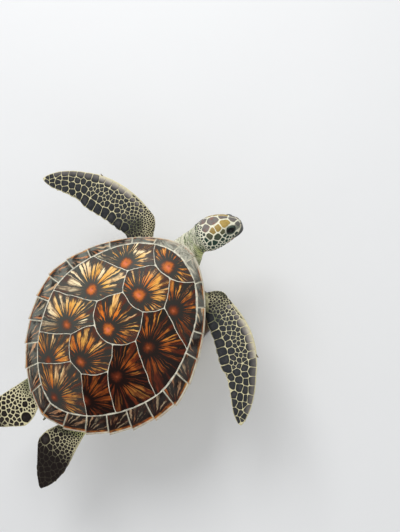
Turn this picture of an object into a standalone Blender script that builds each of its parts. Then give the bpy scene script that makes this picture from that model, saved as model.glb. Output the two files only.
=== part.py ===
"""Green sea turtle, life size, swimming, on a plain display stand.

The head faces -Y and the turtle's left side is +X. The origin is the centre of the stand base's underside.
Proportions are given in carapace lengths, from the centre of the carapace in the plane of its rim, and the
function world() turns them into metres. Each sub-part is one object, named for it.
"""

import math

import bmesh
import bpy
import numpy as np
from mathutils import Matrix, Vector

# ---- Driving dimensions, in metres ----
CARAPACE_LENGTH = 0.480
RIM_HEIGHT = 0.238
GAP = 0.0003

BASE_LENGTH = 0.300
BASE_WIDTH = 0.220
BASE_THICKNESS = 0.018
BASE_CORNER = 0.030
BASE_EDGE = 0.003
ROD_RADIUS = 0.006
ROD_FOOT_RADIUS = 0.018
ROD_PAD_RADIUS = 0.014
ROD_FLANGE = 0.004
ROD_SPACING = 0.150
ROD_TOP_GAP = 0.0009

# ---- Carapace, in carapace lengths ----
RIM_HALF_WIDTH = 0.405
RIM_WIDEST_Y = 0.010
RIM_FRONT_POWER = 1.58
RIM_REAR_POWER = 1.735
INNER_HALF_WIDTH = 0.347
INNER_WIDEST_Y = -0.010
INNER_FRONT_Y = -0.459
INNER_REAR_Y = 0.442
INNER_FRONT_POWER = 1.78
INNER_REAR_POWER = 1.62
DOME_HEIGHT = 0.135
DOME_CREST_Y = -0.080
DOME_LENGTH_POWER = 2.25
DOME_SIDE_POWER = 1.9
DOME_SHOULDER = 0.9
PLATE_THICKNESS = 0.010
SEAM_WIDTH = 0.0022
MARGINALS_A_SIDE = 11
NUCHAL_HALF_ARC = 0.040
MARGINAL_EDGE = 0.0085
MARGINAL_DEPTH = 0.0215
SERRATION = 0.007

# Where the seams of the vertebral and costal plates meet, on the left side: (out from the midline, back).
VERTEBRAL_CORNERS = [(0.042, -0.364), (0.058, -0.195), (0.057, -0.008), (0.034, 0.188)]
VERTEBRAL_SEAM_BOWS = [0.05, 0.10, 0.12, 0.0]
COSTAL_CORNERS = [(0.110, -0.265), (0.118, -0.086), (0.113, 0.097)]
RIM_JOINTS_Y = [-0.420, -0.204, 0.045, 0.235, 0.348]

# ---- Belly and trunk ----
BELLY_DEPTH = 0.182
BRIDGE_HALF_WIDTH = 0.338
BRIDGE_TOP = 0.034
BRIDGE_FOLD = 0.190
BRIDGE_REACH = 0.150
BRIDGE_TAPER = 0.110
LOBE_FRONT_Y = -0.425
LOBE_REAR_Y = 0.400
LOBE_HALF_WIDTH = 0.205
PLASTRON_THICKNESS = 0.011
TRUNK_TOP_GAP = 0.017
TRUNK_BELLY_GAP = 0.015
# Lower rings of the trunk: (share of the inner rim line, height).
TRUNK_RINGS = [(0.975, -0.030), (0.960, -0.075), (0.900, -0.115), (0.780, -0.150), (0.500, -0.160)]

# ---- Head and neck ----
SNOUT = (-0.089, -0.724, -0.018)
HEAD_LENGTH = 0.186
HEAD_YAW = math.radians(28.5)
HEAD_PITCH = math.radians(-4)
HEAD_ROLL = math.radians(42)
# Head profile: (share of the length back from the snout, top, bottom, half width).
HEAD_PROFILE = [
    (0.00, 0.004, -0.024, 0.011),
    (0.04, 0.021, -0.036, 0.024),
    (0.13, 0.037, -0.045, 0.036),
    (0.26, 0.052, -0.050, 0.047),
    (0.42, 0.062, -0.055, 0.060),
    (0.62, 0.065, -0.060, 0.071),
    (0.80, 0.061, -0.062, 0.073),
    (1.00, 0.050, -0.058, 0.063),
]
HEAD_SQUARENESS = 2.35
MOUTH_HEIGHT = -0.0225
MOUTH_SLOPE = math.radians(5)
MOUTH_LENGTH = 0.56
BEAK_LENGTH = 0.36
BEAK_HEIGHT = 0.019
EYE_BACK = 0.265
EYE_OUT = 0.0358
EYE_UP = 0.0150
EYE_RADIUS = 0.0225
NECK_ROOT = (0.022, -0.400, -0.092)
NECK_BEND = (0.014, -0.502, -0.098)
NECK_ROOT_SIZE = (0.098, 0.048, 0.050)
NECK_RINGS = 7

# ---- Front flippers ----
SHOULDER_RINGS = [((0.070, -0.325), (0.180, -0.245)), ((0.152, -0.388), (0.226, -0.298))]
ELBOW = {"left": (0.250, -0.430), "right": (0.243, -0.420)}
FLIPPER_REACH = {"left": 0.508, "right": 0.520}
FLIPPER_SWEEP = {"left": math.radians(19.7), "right": math.radians(38.0)}
FLIPPER_TUCK = {"left": 0.008, "right": 0.034}
FLIPPER_TUCK_LENGTH = 0.160
FLIPPER_TIP_HEIGHT = {"left": -0.020, "right": -0.030}
SHOULDER_HEIGHT = -0.072
ARM_THICKNESS = 0.056
FLIPPER_ARCH = 0.028
# Blade outline: (along the leading edge, ahead), (along the trailing edge, ahead), thickness.
FLIPPER_OUTLINE = [
    ((-0.045, 0.035), (0.052, -0.088), 0.052),
    ((0.000, 0.068), (0.080, -0.081), 0.050),
    ((0.060, 0.096), (0.110, -0.072), 0.045),
    ((0.130, 0.114), (0.155, -0.060), 0.038),
    ((0.200, 0.121), (0.210, -0.051), 0.031),
    ((0.262, 0.119), (0.258, -0.045), 0.025),
    ((0.312, 0.109), (0.300, -0.030), 0.021),
    ((0.362, 0.097), (0.350, -0.021), 0.017),
    ((0.412, 0.079), (0.400, -0.020), 0.014),
    ((0.455, 0.057), (0.446, -0.021), 0.011),
    ((0.490, 0.031), (0.482, -0.015), 0.009),
    ((0.510, 0.008), (0.505, -0.004), 0.007),
]
BLADE_ROOT_RING = 4

# ---- Hind flippers: (outer edge), (inner edge), height, thickness ----
HIND_OUTLINE = [
    ((0.150, 0.350), (0.055, 0.375), -0.085, 0.056),
    ((0.180, 0.425), (0.072, 0.450), -0.080, 0.048),
    ((0.196, 0.495), (0.062, 0.520), -0.075, 0.040),
    ((0.213, 0.560), (0.042, 0.580), -0.070, 0.032),
    ((0.230, 0.625), (0.044, 0.638), -0.066, 0.024),
    ((0.236, 0.685), (0.087, 0.691), -0.062, 0.017),
    ((0.227, 0.742), (0.142, 0.748), -0.058, 0.012),
    ((0.209, 0.784), (0.188, 0.782), -0.055, 0.008),
]

# ---- Tail and claws ----
TAIL_ROOT = (0.0, 0.400, -0.090)
TAIL_TIP = (0.004, 0.566, -0.084)
TAIL_ROOT_RADIUS = 0.040
TAIL_TIP_RADIUS = 0.006
CLAW_LENGTH = 0.026
CLAW_RADIUS = 0.0055
FRONT_CLAW_ALONG = 0.232
FRONT_CLAW_AHEAD = 0.113
HIND_CLAW = (0.2285, 0.640, -0.0655)

SECTION_SHARES = [0.0, 0.07, 0.25, 0.5, 0.78, 1.0]
TRAILING_EDGE = 0.0035
TRAILING_SHARE = 0.3
THICK_ROOT = 0.013
HEAD_SIDES = 20


# ---- Small helpers ----
def world(point):
    """A point in carapace lengths, in metres in the turtle's frame."""
    x, y, z = point
    return Vector((x, y, z)) * CARAPACE_LENGTH + Vector((0, 0, RIM_HEIGHT))


def material(name, colour, roughness, metallic=0.0):
    made = bpy.data.materials.get(name) or bpy.data.materials.new(name)
    made.use_nodes = True
    shader = made.node_tree.nodes["Principled BSDF"]
    shader.inputs["Base Color"].default_value = (*colour, 1.0)
    shader.inputs["Roughness"].default_value = roughness
    shader.inputs["Metallic"].default_value = metallic
    return made


def clear_scene():
    for obj in list(bpy.data.objects):
        bpy.data.objects.remove(obj)


def collection(name):
    made = bpy.data.collections.new(name)
    bpy.context.scene.collection.children.link(made)
    return made


def mesh_object(name, points, faces, finish, group, smooth=True):
    """An object from points in metres and faces, with its normals turned out."""
    mesh = bpy.data.meshes.new(name)
    mesh.from_pydata([tuple(point) for point in points], [], faces)
    work = bmesh.new()
    work.from_mesh(mesh)
    bmesh.ops.recalc_face_normals(work, faces=work.faces)
    work.to_mesh(mesh)
    work.free()
    if smooth:
        mesh.shade_smooth()
        mesh.set_sharp_from_angle(angle=math.radians(40))
    obj = bpy.data.objects.new(name, mesh)
    obj.data.materials.append(finish)
    group.objects.link(obj)
    return obj


def bake(obj):
    """Replaces the object's mesh with its evaluated mesh, and clears its modifiers."""
    bpy.context.view_layer.update()
    graph = bpy.context.evaluated_depsgraph_get()
    mesh = bpy.data.meshes.new_from_object(obj.evaluated_get(graph))
    obj.modifiers.clear()
    obj.data = mesh
    return obj


def boolean(obj, cutter, operation):
    step = obj.modifiers.new(operation.lower(), "BOOLEAN")
    step.operation = operation
    step.solver = "EXACT"
    step.object = cutter
    return bake(obj)


def as_cutter(obj):
    obj.hide_render = True
    obj.display_type = "WIRE"
    return obj


def grown(obj, cutters, amount=GAP):
    """A copy of the object swollen by a small amount, used to part its neighbours from it."""
    copy = bpy.data.objects.new(obj.name + "_cutter", obj.data.copy())
    cutters.objects.link(copy)
    normals = [vertex.normal.copy() for vertex in copy.data.vertices]
    for vertex, normal in zip(copy.data.vertices, normals):
        vertex.co += normal * amount
    return as_cutter(copy)


def loft(name, rings, finish, group):
    """A closed body through rings of equally many points, with a fan over each end."""
    count = len(rings[0])
    points = [point for ring in rings for point in ring]
    faces = []
    for row in range(len(rings) - 1):
        for side in range(count):
            after = (side + 1) % count
            low = row * count
            faces.append((low + side, low + after, low + count + after, low + count + side))
    for ring, start in ((rings[0], 0), (rings[-1], (len(rings) - 1) * count)):
        middle = len(points)
        points.append(sum((Vector(point) for point in ring), Vector()) / count)
        faces += [(start + side, start + (side + 1) % count, middle) for side in range(count)]
    return mesh_object(name, points, faces, finish, group)


def smooth_step(value):
    value = min(max(value, 0.0), 1.0)
    return value * value * (3 - 2 * value)


def through(table, share):
    """A smooth value of each column of a table whose first column runs from 0 to 1."""
    keys = [row[0] for row in table]
    place = max(index for index in range(len(keys) - 1) if keys[index] <= share or index == 0)
    rows = [np.array(table[min(max(place + step, 0), len(table) - 1)]) for step in (-1, 0, 1, 2)]
    span = rows[2][0] - rows[1][0]
    step = (share - rows[1][0]) / span
    start = (rows[2] - rows[0]) / (rows[2][0] - rows[0][0]) * span
    end = (rows[3] - rows[1]) / (rows[3][0] - rows[1][0]) * span
    square, cube = step**2, step**3
    value = (
        rows[1] * (2 * cube - 3 * square + 1)
        + start * (cube - 2 * square + step)
        + rows[2] * (3 * square - 2 * cube)
        + end * (cube - square)
    )
    return value[1:]


# ---- The carapace's surface and outlines ----
def oval(y, half_width, widest_y, front_y, rear_y, front_power, rear_power):
    """Half the width of an oval outline at y."""
    if y < widest_y:
        share, power = (widest_y - y) / (widest_y - front_y), front_power
    else:
        share, power = (y - widest_y) / (rear_y - widest_y), rear_power
    return half_width * max(0.0, 1 - min(share, 1.0) ** power) ** (1 / power)


def rim(y):
    return oval(y, RIM_HALF_WIDTH, RIM_WIDEST_Y, -0.5, 0.5, RIM_FRONT_POWER, RIM_REAR_POWER)


def inner_line(y):
    return oval(
        y,
        INNER_HALF_WIDTH,
        INNER_WIDEST_Y,
        INNER_FRONT_Y,
        INNER_REAR_Y,
        INNER_FRONT_POWER,
        INNER_REAR_POWER,
    )


def dome(x, y):
    """Height of the carapace above its rim plane."""
    reach = 0.5 + DOME_CREST_Y if y < DOME_CREST_Y else 0.5 - DOME_CREST_Y
    share = min(abs(y - DOME_CREST_Y) / reach, 1.0)
    crest = DOME_HEIGHT * (1 - 0.98 * share**DOME_LENGTH_POWER)
    across = min(abs(x) / max(rim(y), 1e-6), 1.0)
    return crest * (1 - across**DOME_SIDE_POWER) ** DOME_SHOULDER


def outline_points(width, front_y, rear_y, count=600):
    """Points along the left half of an outline, from front to rear, with their shares of its length."""
    turn = np.linspace(0, math.pi, count)
    back = (front_y + rear_y) / 2 - np.cos(turn) * (rear_y - front_y) / 2
    points = np.array([(width(y), y) for y in back])
    steps = np.linalg.norm(np.diff(points, axis=0), axis=1)
    travelled = np.concatenate([[0.0], np.cumsum(steps)])
    return points, travelled / travelled[-1], travelled[-1]


def at_share(outline, share):
    points, shares, _ = outline
    return np.array([np.interp(share, shares, points[:, 0]), np.interp(share, shares, points[:, 1])])


def seam(start, end, bow, steps=4):
    """Plan points of a seam from start up to but not including end, bowed sideways."""
    start, end = np.array(start), np.array(end)
    along = end - start
    side = np.array([along[1], -along[0]])
    return [
        start + along * (k / steps) + side * bow * math.sin(math.pi * k / steps)
        for k in range(steps)
    ]


def along_inner_line(from_y, to_y, steps):
    """Plan points along the inner rim line from one y up to but not including another."""
    return [
        np.array((inner_line(y), y))
        for y in (from_y + (to_y - from_y) * k / steps for k in range(steps))
    ]


def mirrored(points):
    return [np.array((-x, y)) for x, y in points]


def closed_by_mirror(points):
    """A left half outline that starts and ends on the midline, closed round its right half."""
    return points + mirrored(points[-2:0:-1])


def drawn_in(points, amount):
    """The outline moved inwards by an amount along its own normals."""
    points = np.array(points)
    before = points - np.roll(points, 1, axis=0)
    after = np.roll(points, -1, axis=0) - points
    tangent = before / np.linalg.norm(before, axis=1)[:, None]
    tangent += after / np.linalg.norm(after, axis=1)[:, None]
    tangent /= np.linalg.norm(tangent, axis=1)[:, None]
    normal = np.stack([-tangent[:, 1], tangent[:, 0]], axis=1)
    ahead = np.roll(points, -1, axis=0)
    area = np.sum(points[:, 0] * ahead[:, 1] - ahead[:, 0] * points[:, 1])
    return points + normal * amount * (1 if area > 0 else -1)


def scute(name, outline, finish, group):
    """A plate of the carapace over a plan outline, following the dome above and below."""
    outline = drawn_in(outline, SEAM_WIDTH / 2)
    middle = outline.mean(axis=0)
    levels = [(0.0, 1.0), (0.0, 0.55), (PLATE_THICKNESS, 0.55), (PLATE_THICKNESS, 1.0)]
    rings = []
    for drop, share in levels:
        ring = middle + (outline - middle) * share
        rings.append([world((x, y, dome(x, y) - drop)) for x, y in ring])
    count = len(outline)
    points = rings[0] + rings[1] + rings[2] + rings[3]
    top = len(points)
    points.append(world((*middle, dome(*middle))))
    points.append(world((*middle, dome(*middle) - PLATE_THICKNESS)))
    faces = []
    for side in range(count):
        after = (side + 1) % count
        faces.append((side, after, count + after, count + side))
        faces.append((count + side, count + after, top))
        faces.append((2 * count + side, 2 * count + after, top + 1))
        faces.append((2 * count + side, 2 * count + after, 3 * count + after, 3 * count + side))
        faces.append((3 * count + side, 3 * count + after, after, side))
    return mesh_object(name, points, faces, finish, group)


def vertebral_seam(index, steps=4):
    """The left half of the seam behind a vertebral plate, from its corner in to the midline."""
    corner = VERTEBRAL_CORNERS[index]
    middle_y = corner[1] + 2 * corner[0] * VERTEBRAL_SEAM_BOWS[index]
    points = []
    for k in range(steps + 1):
        inward = math.sin(0.5 * math.pi * k / steps)
        x, y = corner[0] * (1 - k / steps), corner[1] + (middle_y - corner[1]) * inward
        points.append(np.array((x, y)))
    return points


def vertebral_outlines():
    outlines = []
    front = [np.array((0.0, INNER_FRONT_Y))]
    front += along_inner_line(INNER_FRONT_Y + 0.006, RIM_JOINTS_Y[0], 4)
    left = front + seam((inner_line(RIM_JOINTS_Y[0]), RIM_JOINTS_Y[0]), VERTEBRAL_CORNERS[0], 0.06)
    outlines.append(closed_by_mirror(left + vertebral_seam(0)))
    for index, apex in enumerate(COSTAL_CORNERS):
        left = vertebral_seam(index)[::-1][:-1]
        left += seam(VERTEBRAL_CORNERS[index], apex, 0.06, 3)
        left += seam(apex, VERTEBRAL_CORNERS[index + 1], 0.10, 3)
        outlines.append(closed_by_mirror(left + vertebral_seam(index + 1)))
    left = vertebral_seam(3)[::-1][:-1]
    last_y = RIM_JOINTS_Y[4]
    left += seam(VERTEBRAL_CORNERS[3], (inner_line(last_y), last_y), 0.0, 5)
    left += along_inner_line(last_y, INNER_REAR_Y, 5)
    outlines.append(closed_by_mirror(left + [np.array((0.0, INNER_REAR_Y))]))
    return outlines


def costal_outlines():
    """Plan outlines of the four left costal plates, each going round from its front inner corner."""
    joints = [np.array((inner_line(y), y)) for y in RIM_JOINTS_Y]
    outer_steps = [7, 6, 5, 4]
    outlines = []
    for index in range(4):
        front = joints[index]
        rear = joints[index + 1]
        inner_front = VERTEBRAL_CORNERS[index]
        outline = along_inner_line(front[1], rear[1], outer_steps[index])
        if index < 3:
            apex = COSTAL_CORNERS[index]
            outline += seam(rear, apex, 0.02, 5)
            outline += seam(apex, inner_front, -0.06, 3)
        else:
            outline += seam(rear, inner_front, 0.0, 5)
        if index == 0:
            outline += seam(inner_front, front, -0.06)
        else:
            apex = COSTAL_CORNERS[index - 1]
            outline += seam(inner_front, apex, -0.10, 3)
            outline += seam(apex, front, -0.02, 5)
        outlines.append(outline)
    return outlines


def marginal_strip(inner, outer, name, finish, group):
    """A plate that wraps the rim, between matching lists of inner and outer plan points."""
    rings = []
    for (xi, yi), (xo, yo) in zip(inner, outer):
        xm, ym = (xi * 0.45 + xo * 0.55, yi * 0.45 + yo * 0.55)
        ring = [
            (xi, yi, dome(xi, yi)),
            (xm, ym, dome(xm, ym)),
            (xo, yo, MARGINAL_EDGE * 0.35),
            (xo, yo, -MARGINAL_EDGE * 0.65),
            (xi, yi, -MARGINAL_DEPTH),
        ]
        rings.append([world(point) for point in ring])
    return loft(name, rings, finish, group)


def marginal_points(first, last, serrated, steps=3):
    """Inner and outer plan points of one marginal plate between two shares of the outlines, less the seam."""
    inner_outline = outline_points(inner_line, INNER_FRONT_Y, INNER_REAR_Y)
    outer_outline = outline_points(rim, -0.5, 0.5)
    half_seam = SEAM_WIDTH / 2
    inner, outer = [], []
    for k in range(steps + 1):
        part = k / steps
        for outline, found in ((inner_outline, inner), (outer_outline, outer)):
            margin = half_seam / outline[2]
            share = (first + margin) * (1 - part) + (last - margin) * part
            found.append(at_share(outline, share))
        away = outer[-1] - inner[-1]
        away /= np.linalg.norm(away)
        inner[-1] = inner[-1] + away * half_seam
        outer[-1] = outer[-1] + away * (SERRATION * part**2 * serrated - SERRATION * 0.4)
    return inner, outer


def build_carapace(group):
    shell = material("scute", (0.10, 0.045, 0.02), 0.28)
    edge = material("marginal_scute", (0.07, 0.06, 0.05), 0.35)
    for index, outline in enumerate(vertebral_outlines()):
        scute(f"vertebral_{index + 1}", outline, shell, group)
    for index, outline in enumerate(costal_outlines()):
        scute(f"costal_left_{index + 1}", outline, shell, group)
        scute(f"costal_right_{index + 1}", mirrored(outline), shell, group)
    arc = outline_points(rim, -0.5, 0.5)[2]
    start = NUCHAL_HALF_ARC / arc
    step = (1 - start) / (MARGINALS_A_SIDE + 1)
    inner, outer = marginal_points(0.0, start, 0.4)
    inner[0], outer[0] = np.array((0.0, inner[0][1])), np.array((0.0, outer[0][1]))
    nuchal_inner = mirrored(inner[:0:-1]) + inner
    nuchal_outer = mirrored(outer[:0:-1]) + outer
    marginal_strip(nuchal_inner, nuchal_outer, "nuchal", edge, group)
    for index in range(MARGINALS_A_SIDE + 1):
        first = start + index * step
        last = min(first + step, 1.0)
        serrated = smooth_step((index - 1) / 6)
        inner, outer = marginal_points(first, last, serrated)
        name = f"_{index + 1}" if index < MARGINALS_A_SIDE else ""
        stem = "marginal" if name else "supracaudal"
        marginal_strip(inner, outer, f"{stem}_left{name}", edge, group)
        marginal_strip(mirrored(inner), mirrored(outer), f"{stem}_right{name}", edge, group)


# ---- Trunk and plastron ----
def lobe(y):
    """Half the width of the plastron's front and rear lobes at y."""
    return oval(y, LOBE_HALF_WIDTH, 0.0, LOBE_FRONT_Y, LOBE_REAR_Y, 2.6, 2.2)


def plastron_half_width(y):
    bridge = 1 - smooth_step((abs(y + 0.01) - BRIDGE_REACH) / BRIDGE_TAPER)
    return lobe(y) + (BRIDGE_HALF_WIDTH - lobe(y)) * bridge


def belly(x, y):
    """Height of the plastron's underside, below the rim plane."""
    fold = max(0.0, (abs(x) - BRIDGE_FOLD) / (BRIDGE_HALF_WIDTH - BRIDGE_FOLD)) ** 1.7
    lift = 0.045 * (abs(y) / 0.43) ** 4
    return -BELLY_DEPTH + lift + (BELLY_DEPTH - BRIDGE_TOP) * min(fold, 1.15)


def belly_inside(x, y):
    """Height of the trunk's lowest point over the plastron, clear of its upper face."""
    step = 0.002
    slope = (belly(abs(x) + step, y) - belly(abs(x) - step, y)) / (2 * step)
    return belly(x, y) + PLASTRON_THICKNESS * math.hypot(1, slope) + TRUNK_BELLY_GAP


def build_plastron(group):
    """A curved sheet of even rows across the belly, thickened inwards."""
    rows, columns = 18, 12
    work = bmesh.new()
    bmesh.ops.create_grid(work, x_segments=columns, y_segments=rows, size=0.5)
    for vertex in work.verts:
        across, along = math.sin(math.pi * vertex.co.x), vertex.co.y + 0.5
        y = LOBE_FRONT_Y + (LOBE_REAR_Y - LOBE_FRONT_Y) * (0.012 + 0.976 * along)
        x = plastron_half_width(y) * across
        vertex.co = world((x, y, belly(x, y)))
    mesh = bpy.data.meshes.new("plastron")
    bmesh.ops.recalc_face_normals(work, faces=work.faces)
    if sum(face.normal.z for face in work.faces) > 0:
        bmesh.ops.reverse_faces(work, faces=work.faces)
    work.to_mesh(mesh)
    work.free()
    mesh.shade_smooth()
    obj = bpy.data.objects.new("plastron", mesh)
    obj.data.materials.append(material("plastron", (0.80, 0.72, 0.50), 0.4))
    group.objects.link(obj)
    sheet = obj.modifiers.new("thickness", "SOLIDIFY")
    sheet.thickness = PLASTRON_THICKNESS * CARAPACE_LENGTH
    sheet.offset = -1
    return bake(obj)


def build_trunk(skin, group):
    """The body inside the shell, closed over the belly, in rings round the inner rim line."""
    turns = 32
    outline = outline_points(inner_line, INNER_FRONT_Y, INNER_REAR_Y)
    half = [at_share(outline, k / (turns // 2)) for k in range(turns // 2 + 1)]
    plan = np.array(half + mirrored(half[-2:0:-1]))
    rings = []
    for share in (0.2, 0.45, 0.72, 0.975):
        rings.append([world((x, y, dome(x, y) - TRUNK_TOP_GAP)) for x, y in plan * share])
    for share, height in TRUNK_RINGS:
        ring = []
        for x, y in plan * share:
            ring.append(world((x, y, max(height, belly_inside(x, y)))))
        rings.append(ring)
    return loft("trunk", rings, skin, group)


# ---- Head and neck ----
def facing(yaw, pitch, roll):
    """Forward, left and up of a head turned right by yaw, raised by pitch, its right side rolled up."""
    forward = Vector(
        (-math.sin(yaw) * math.cos(pitch), -math.cos(yaw) * math.cos(pitch), math.sin(pitch))
    )
    level_left = Vector((math.cos(yaw), -math.sin(yaw), 0))
    level_up = forward.cross(level_left)
    up = level_up * math.cos(roll) + level_left * math.sin(roll)
    left = level_left * math.cos(roll) - level_up * math.sin(roll)
    return forward, left, up


def head_point(back, out, up_by):
    """A point in the head's own directions from the snout, in metres in the turtle's frame."""
    forward, left, up = facing(HEAD_YAW, HEAD_PITCH, HEAD_ROLL)
    return world(Vector(SNOUT) - forward * back + left * out + up * up_by)


def egg_ring(centre, left, up, half_width, top, bottom, squareness=HEAD_SQUARENESS):
    """A ring of points with unlike heights above and below its centre."""
    ring = []
    for side in range(HEAD_SIDES):
        turn = 2 * math.pi * (side + 0.5) / HEAD_SIDES
        out = math.copysign(abs(math.cos(turn)) ** (2 / squareness), math.cos(turn))
        rise = math.copysign(abs(math.sin(turn)) ** (2 / squareness), math.sin(turn))
        height = rise * (top if rise > 0 else -bottom)
        ring.append(world(centre + left * out * half_width + up * height))
    return ring


def head_loft(skin, group):
    forward, left, up = facing(HEAD_YAW, HEAD_PITCH, HEAD_ROLL)
    rings = []
    for share in (0.0, 0.025, 0.07, 0.13, 0.2, 0.28, 0.37, 0.47, 0.58, 0.7, 0.82, 0.92, 1.0):
        top, bottom, half_width = through(HEAD_PROFILE, share)
        centre = Vector(SNOUT) - forward * share * HEAD_LENGTH
        rings.append(egg_ring(centre, left, up, half_width, top, bottom))
    return loft("head", rings, skin, group)


def head_block(name, back, height, cutters):
    """A box in the head's directions, tilted with the mouth, from (front, rear) and (low, high)."""
    forward, left, up = facing(HEAD_YAW, HEAD_PITCH, HEAD_ROLL)
    work = bmesh.new()
    bmesh.ops.create_cube(work, size=1)
    tilt = Matrix.Rotation(MOUTH_SLOPE, 3, "X")
    front, rear = back
    low, high = height
    for vertex in work.verts:
        local = Vector((vertex.co.x * 0.3, front + (vertex.co.y + 0.5) * (rear - front), 0))
        local.z = low + (vertex.co.z + 0.5) * (high - low)
        local = tilt.inverted() @ local
        vertex.co = head_point(local.y, local.x, local.z + MOUTH_HEIGHT)
    mesh = bpy.data.meshes.new(name)
    bmesh.ops.recalc_face_normals(work, faces=work.faces)
    work.to_mesh(mesh)
    work.free()
    obj = bpy.data.objects.new(name, mesh)
    cutters.objects.link(obj)
    return as_cutter(obj)


def part_off(obj, name, back, height, finish, group, cutters):
    """Parts a piece of the object off by a block, leaving a thin gap round it."""
    thin = GAP / CARAPACE_LENGTH
    piece = bpy.data.objects.new(name, obj.data.copy())
    group.objects.link(piece)
    piece.data.materials.clear()
    piece.data.materials.append(finish)
    boolean(piece, head_block(name + "_block", back, height, cutters), "INTERSECT")
    wide_back = (back[0], back[1] + thin)
    wide_height = (height[0] - thin, height[1] + thin)
    boolean(obj, head_block(name + "_gap", wide_back, wide_height, cutters), "DIFFERENCE")
    return piece


def ball(name, centre, radius, group, finish=None):
    work = bmesh.new()
    bmesh.ops.create_uvsphere(work, u_segments=16, v_segments=10, radius=radius)
    bmesh.ops.translate(work, verts=work.verts, vec=centre)
    mesh = bpy.data.meshes.new(name)
    work.to_mesh(mesh)
    work.free()
    mesh.shade_smooth()
    obj = bpy.data.objects.new(name, mesh)
    if finish:
        obj.data.materials.append(finish)
    group.objects.link(obj)
    return obj


def build_head(skin, group, cutters):
    head = head_loft(skin, group)
    horn = material("beak", (0.10, 0.09, 0.06), 0.35)
    jaw_back = (-0.03, MOUTH_LENGTH * HEAD_LENGTH)
    part_off(head, "lower_jaw", jaw_back, (-0.09, 0.0), horn, group, cutters)
    beak_back = (-0.03, BEAK_LENGTH * HEAD_LENGTH)
    beak_height = (GAP / CARAPACE_LENGTH, BEAK_HEIGHT)
    part_off(head, "upper_beak", beak_back, beak_height, horn, group, cutters)
    wet = material("eye", (0.01, 0.008, 0.006), 0.05)
    for side, sign in (("left", 1), ("right", -1)):
        centre = head_point(EYE_BACK * HEAD_LENGTH, sign * EYE_OUT, EYE_UP)
        radius = EYE_RADIUS * CARAPACE_LENGTH
        socket = as_cutter(ball(f"socket_{side}", centre, radius + GAP, cutters))
        for obj in (head, bpy.data.objects["upper_beak"]):
            boolean(obj, socket, "DIFFERENCE")
        ball(f"eye_{side}", centre, radius, group, wet)
    return head


def build_neck(skin, group):
    """The neck, turning and rolling from the trunk's direction into the head's."""
    forward, _, _ = facing(HEAD_YAW, HEAD_PITCH, HEAD_ROLL)
    nape = Vector(SNOUT) - forward * (HEAD_LENGTH + GAP / CARAPACE_LENGTH)
    root, bend = Vector(NECK_ROOT), Vector(NECK_BEND)
    top, bottom, half_width = through(HEAD_PROFILE, 1.0)
    rings = []
    for k in range(NECK_RINGS):
        part = k / (NECK_RINGS - 1)
        turned = smooth_step(part)
        centre = root * (1 - part) ** 2 + bend * 2 * part * (1 - part) + nape * part**2
        raise_by = math.radians(14) * (1 - turned) + HEAD_PITCH * turned
        _, left, up = facing(HEAD_YAW * turned, raise_by, HEAD_ROLL * turned)
        narrowing = part**0.6
        width = NECK_ROOT_SIZE[0] * (1 - narrowing) + half_width * narrowing
        above = NECK_ROOT_SIZE[1] * (1 - part) + top * part
        below = -NECK_ROOT_SIZE[2] * (1 - part) + bottom * part
        rings.append(egg_ring(centre, left, up, width, above, below))
    return loft("neck", rings, skin, group)


# ---- Flippers ----
def fin_ring(lead, trail, thickness):
    """A ring round a fin from its leading to its trailing point, rounded ahead and thin behind."""
    lead, trail = Vector(lead), Vector(trail)
    thin_edge = max(TRAILING_EDGE, TRAILING_SHARE * (thickness - THICK_ROOT))
    upper, lower = [], []
    for share in SECTION_SHARES:
        swell = 2.6 * math.sqrt(share) * (1 - share) ** 0.85
        half = thickness / 2 * min(swell, 1.0) + thin_edge / 2 * share
        point = lead.lerp(trail, share)
        upper.append(point + Vector((0, 0, half)))
        lower.append(point - Vector((0, 0, half)))
    return [world(point) for point in upper + lower[:0:-1]]


def front_flipper_rings(side):
    sign = 1 if side == "left" else -1
    reach, sweep = FLIPPER_REACH[side], FLIPPER_SWEEP[side]
    stretch = reach / FLIPPER_OUTLINE[-1][0][0]
    along = Vector((math.cos(sweep), math.sin(sweep)))
    ahead = Vector((math.sin(sweep), -math.cos(sweep)))
    rings = []
    for lead, trail in SHOULDER_RINGS:
        ends = [(sign * x, y, SHOULDER_HEIGHT) for x, y in (lead, trail)]
        rings.append(fin_ring(*ends, ARM_THICKNESS))
    for lead, trail, thickness in FLIPPER_OUTLINE:
        ends = []
        tuck = FLIPPER_TUCK[side] * max(0.0, 1 - max(lead[0], 0.0) / FLIPPER_TUCK_LENGTH)
        for a, b in ((lead[0], lead[1] - tuck), trail):
            plan = Vector(ELBOW[side]) + along * a * stretch + ahead * b
            share = max(a, 0.0) / FLIPPER_OUTLINE[-1][0][0]
            height = SHOULDER_HEIGHT + (FLIPPER_TIP_HEIGHT[side] - SHOULDER_HEIGHT) * share
            height += FLIPPER_ARCH * math.sin(math.pi * share)
            ends.append((sign * plan.x, plan.y, height))
        rings.append(fin_ring(*ends, thickness))
    return rings


def front_claw_place(side):
    sign = 1 if side == "left" else -1
    sweep = FLIPPER_SWEEP[side]
    along = Vector((math.cos(sweep), math.sin(sweep)))
    ahead = Vector((math.sin(sweep), -math.cos(sweep)))
    plan = Vector(ELBOW[side]) + along * FRONT_CLAW_ALONG + ahead * FRONT_CLAW_AHEAD
    share = FRONT_CLAW_ALONG / FLIPPER_OUTLINE[-1][0][0]
    height = SHOULDER_HEIGHT + (FLIPPER_TIP_HEIGHT[side] - SHOULDER_HEIGHT) * share
    height += FLIPPER_ARCH * math.sin(math.pi * share)
    point = Vector((sign * plan.x, plan.y, height))
    aim = along * 0.92 + ahead * 0.38
    return point, Vector((sign * aim.x, aim.y, 0.0))


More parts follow.
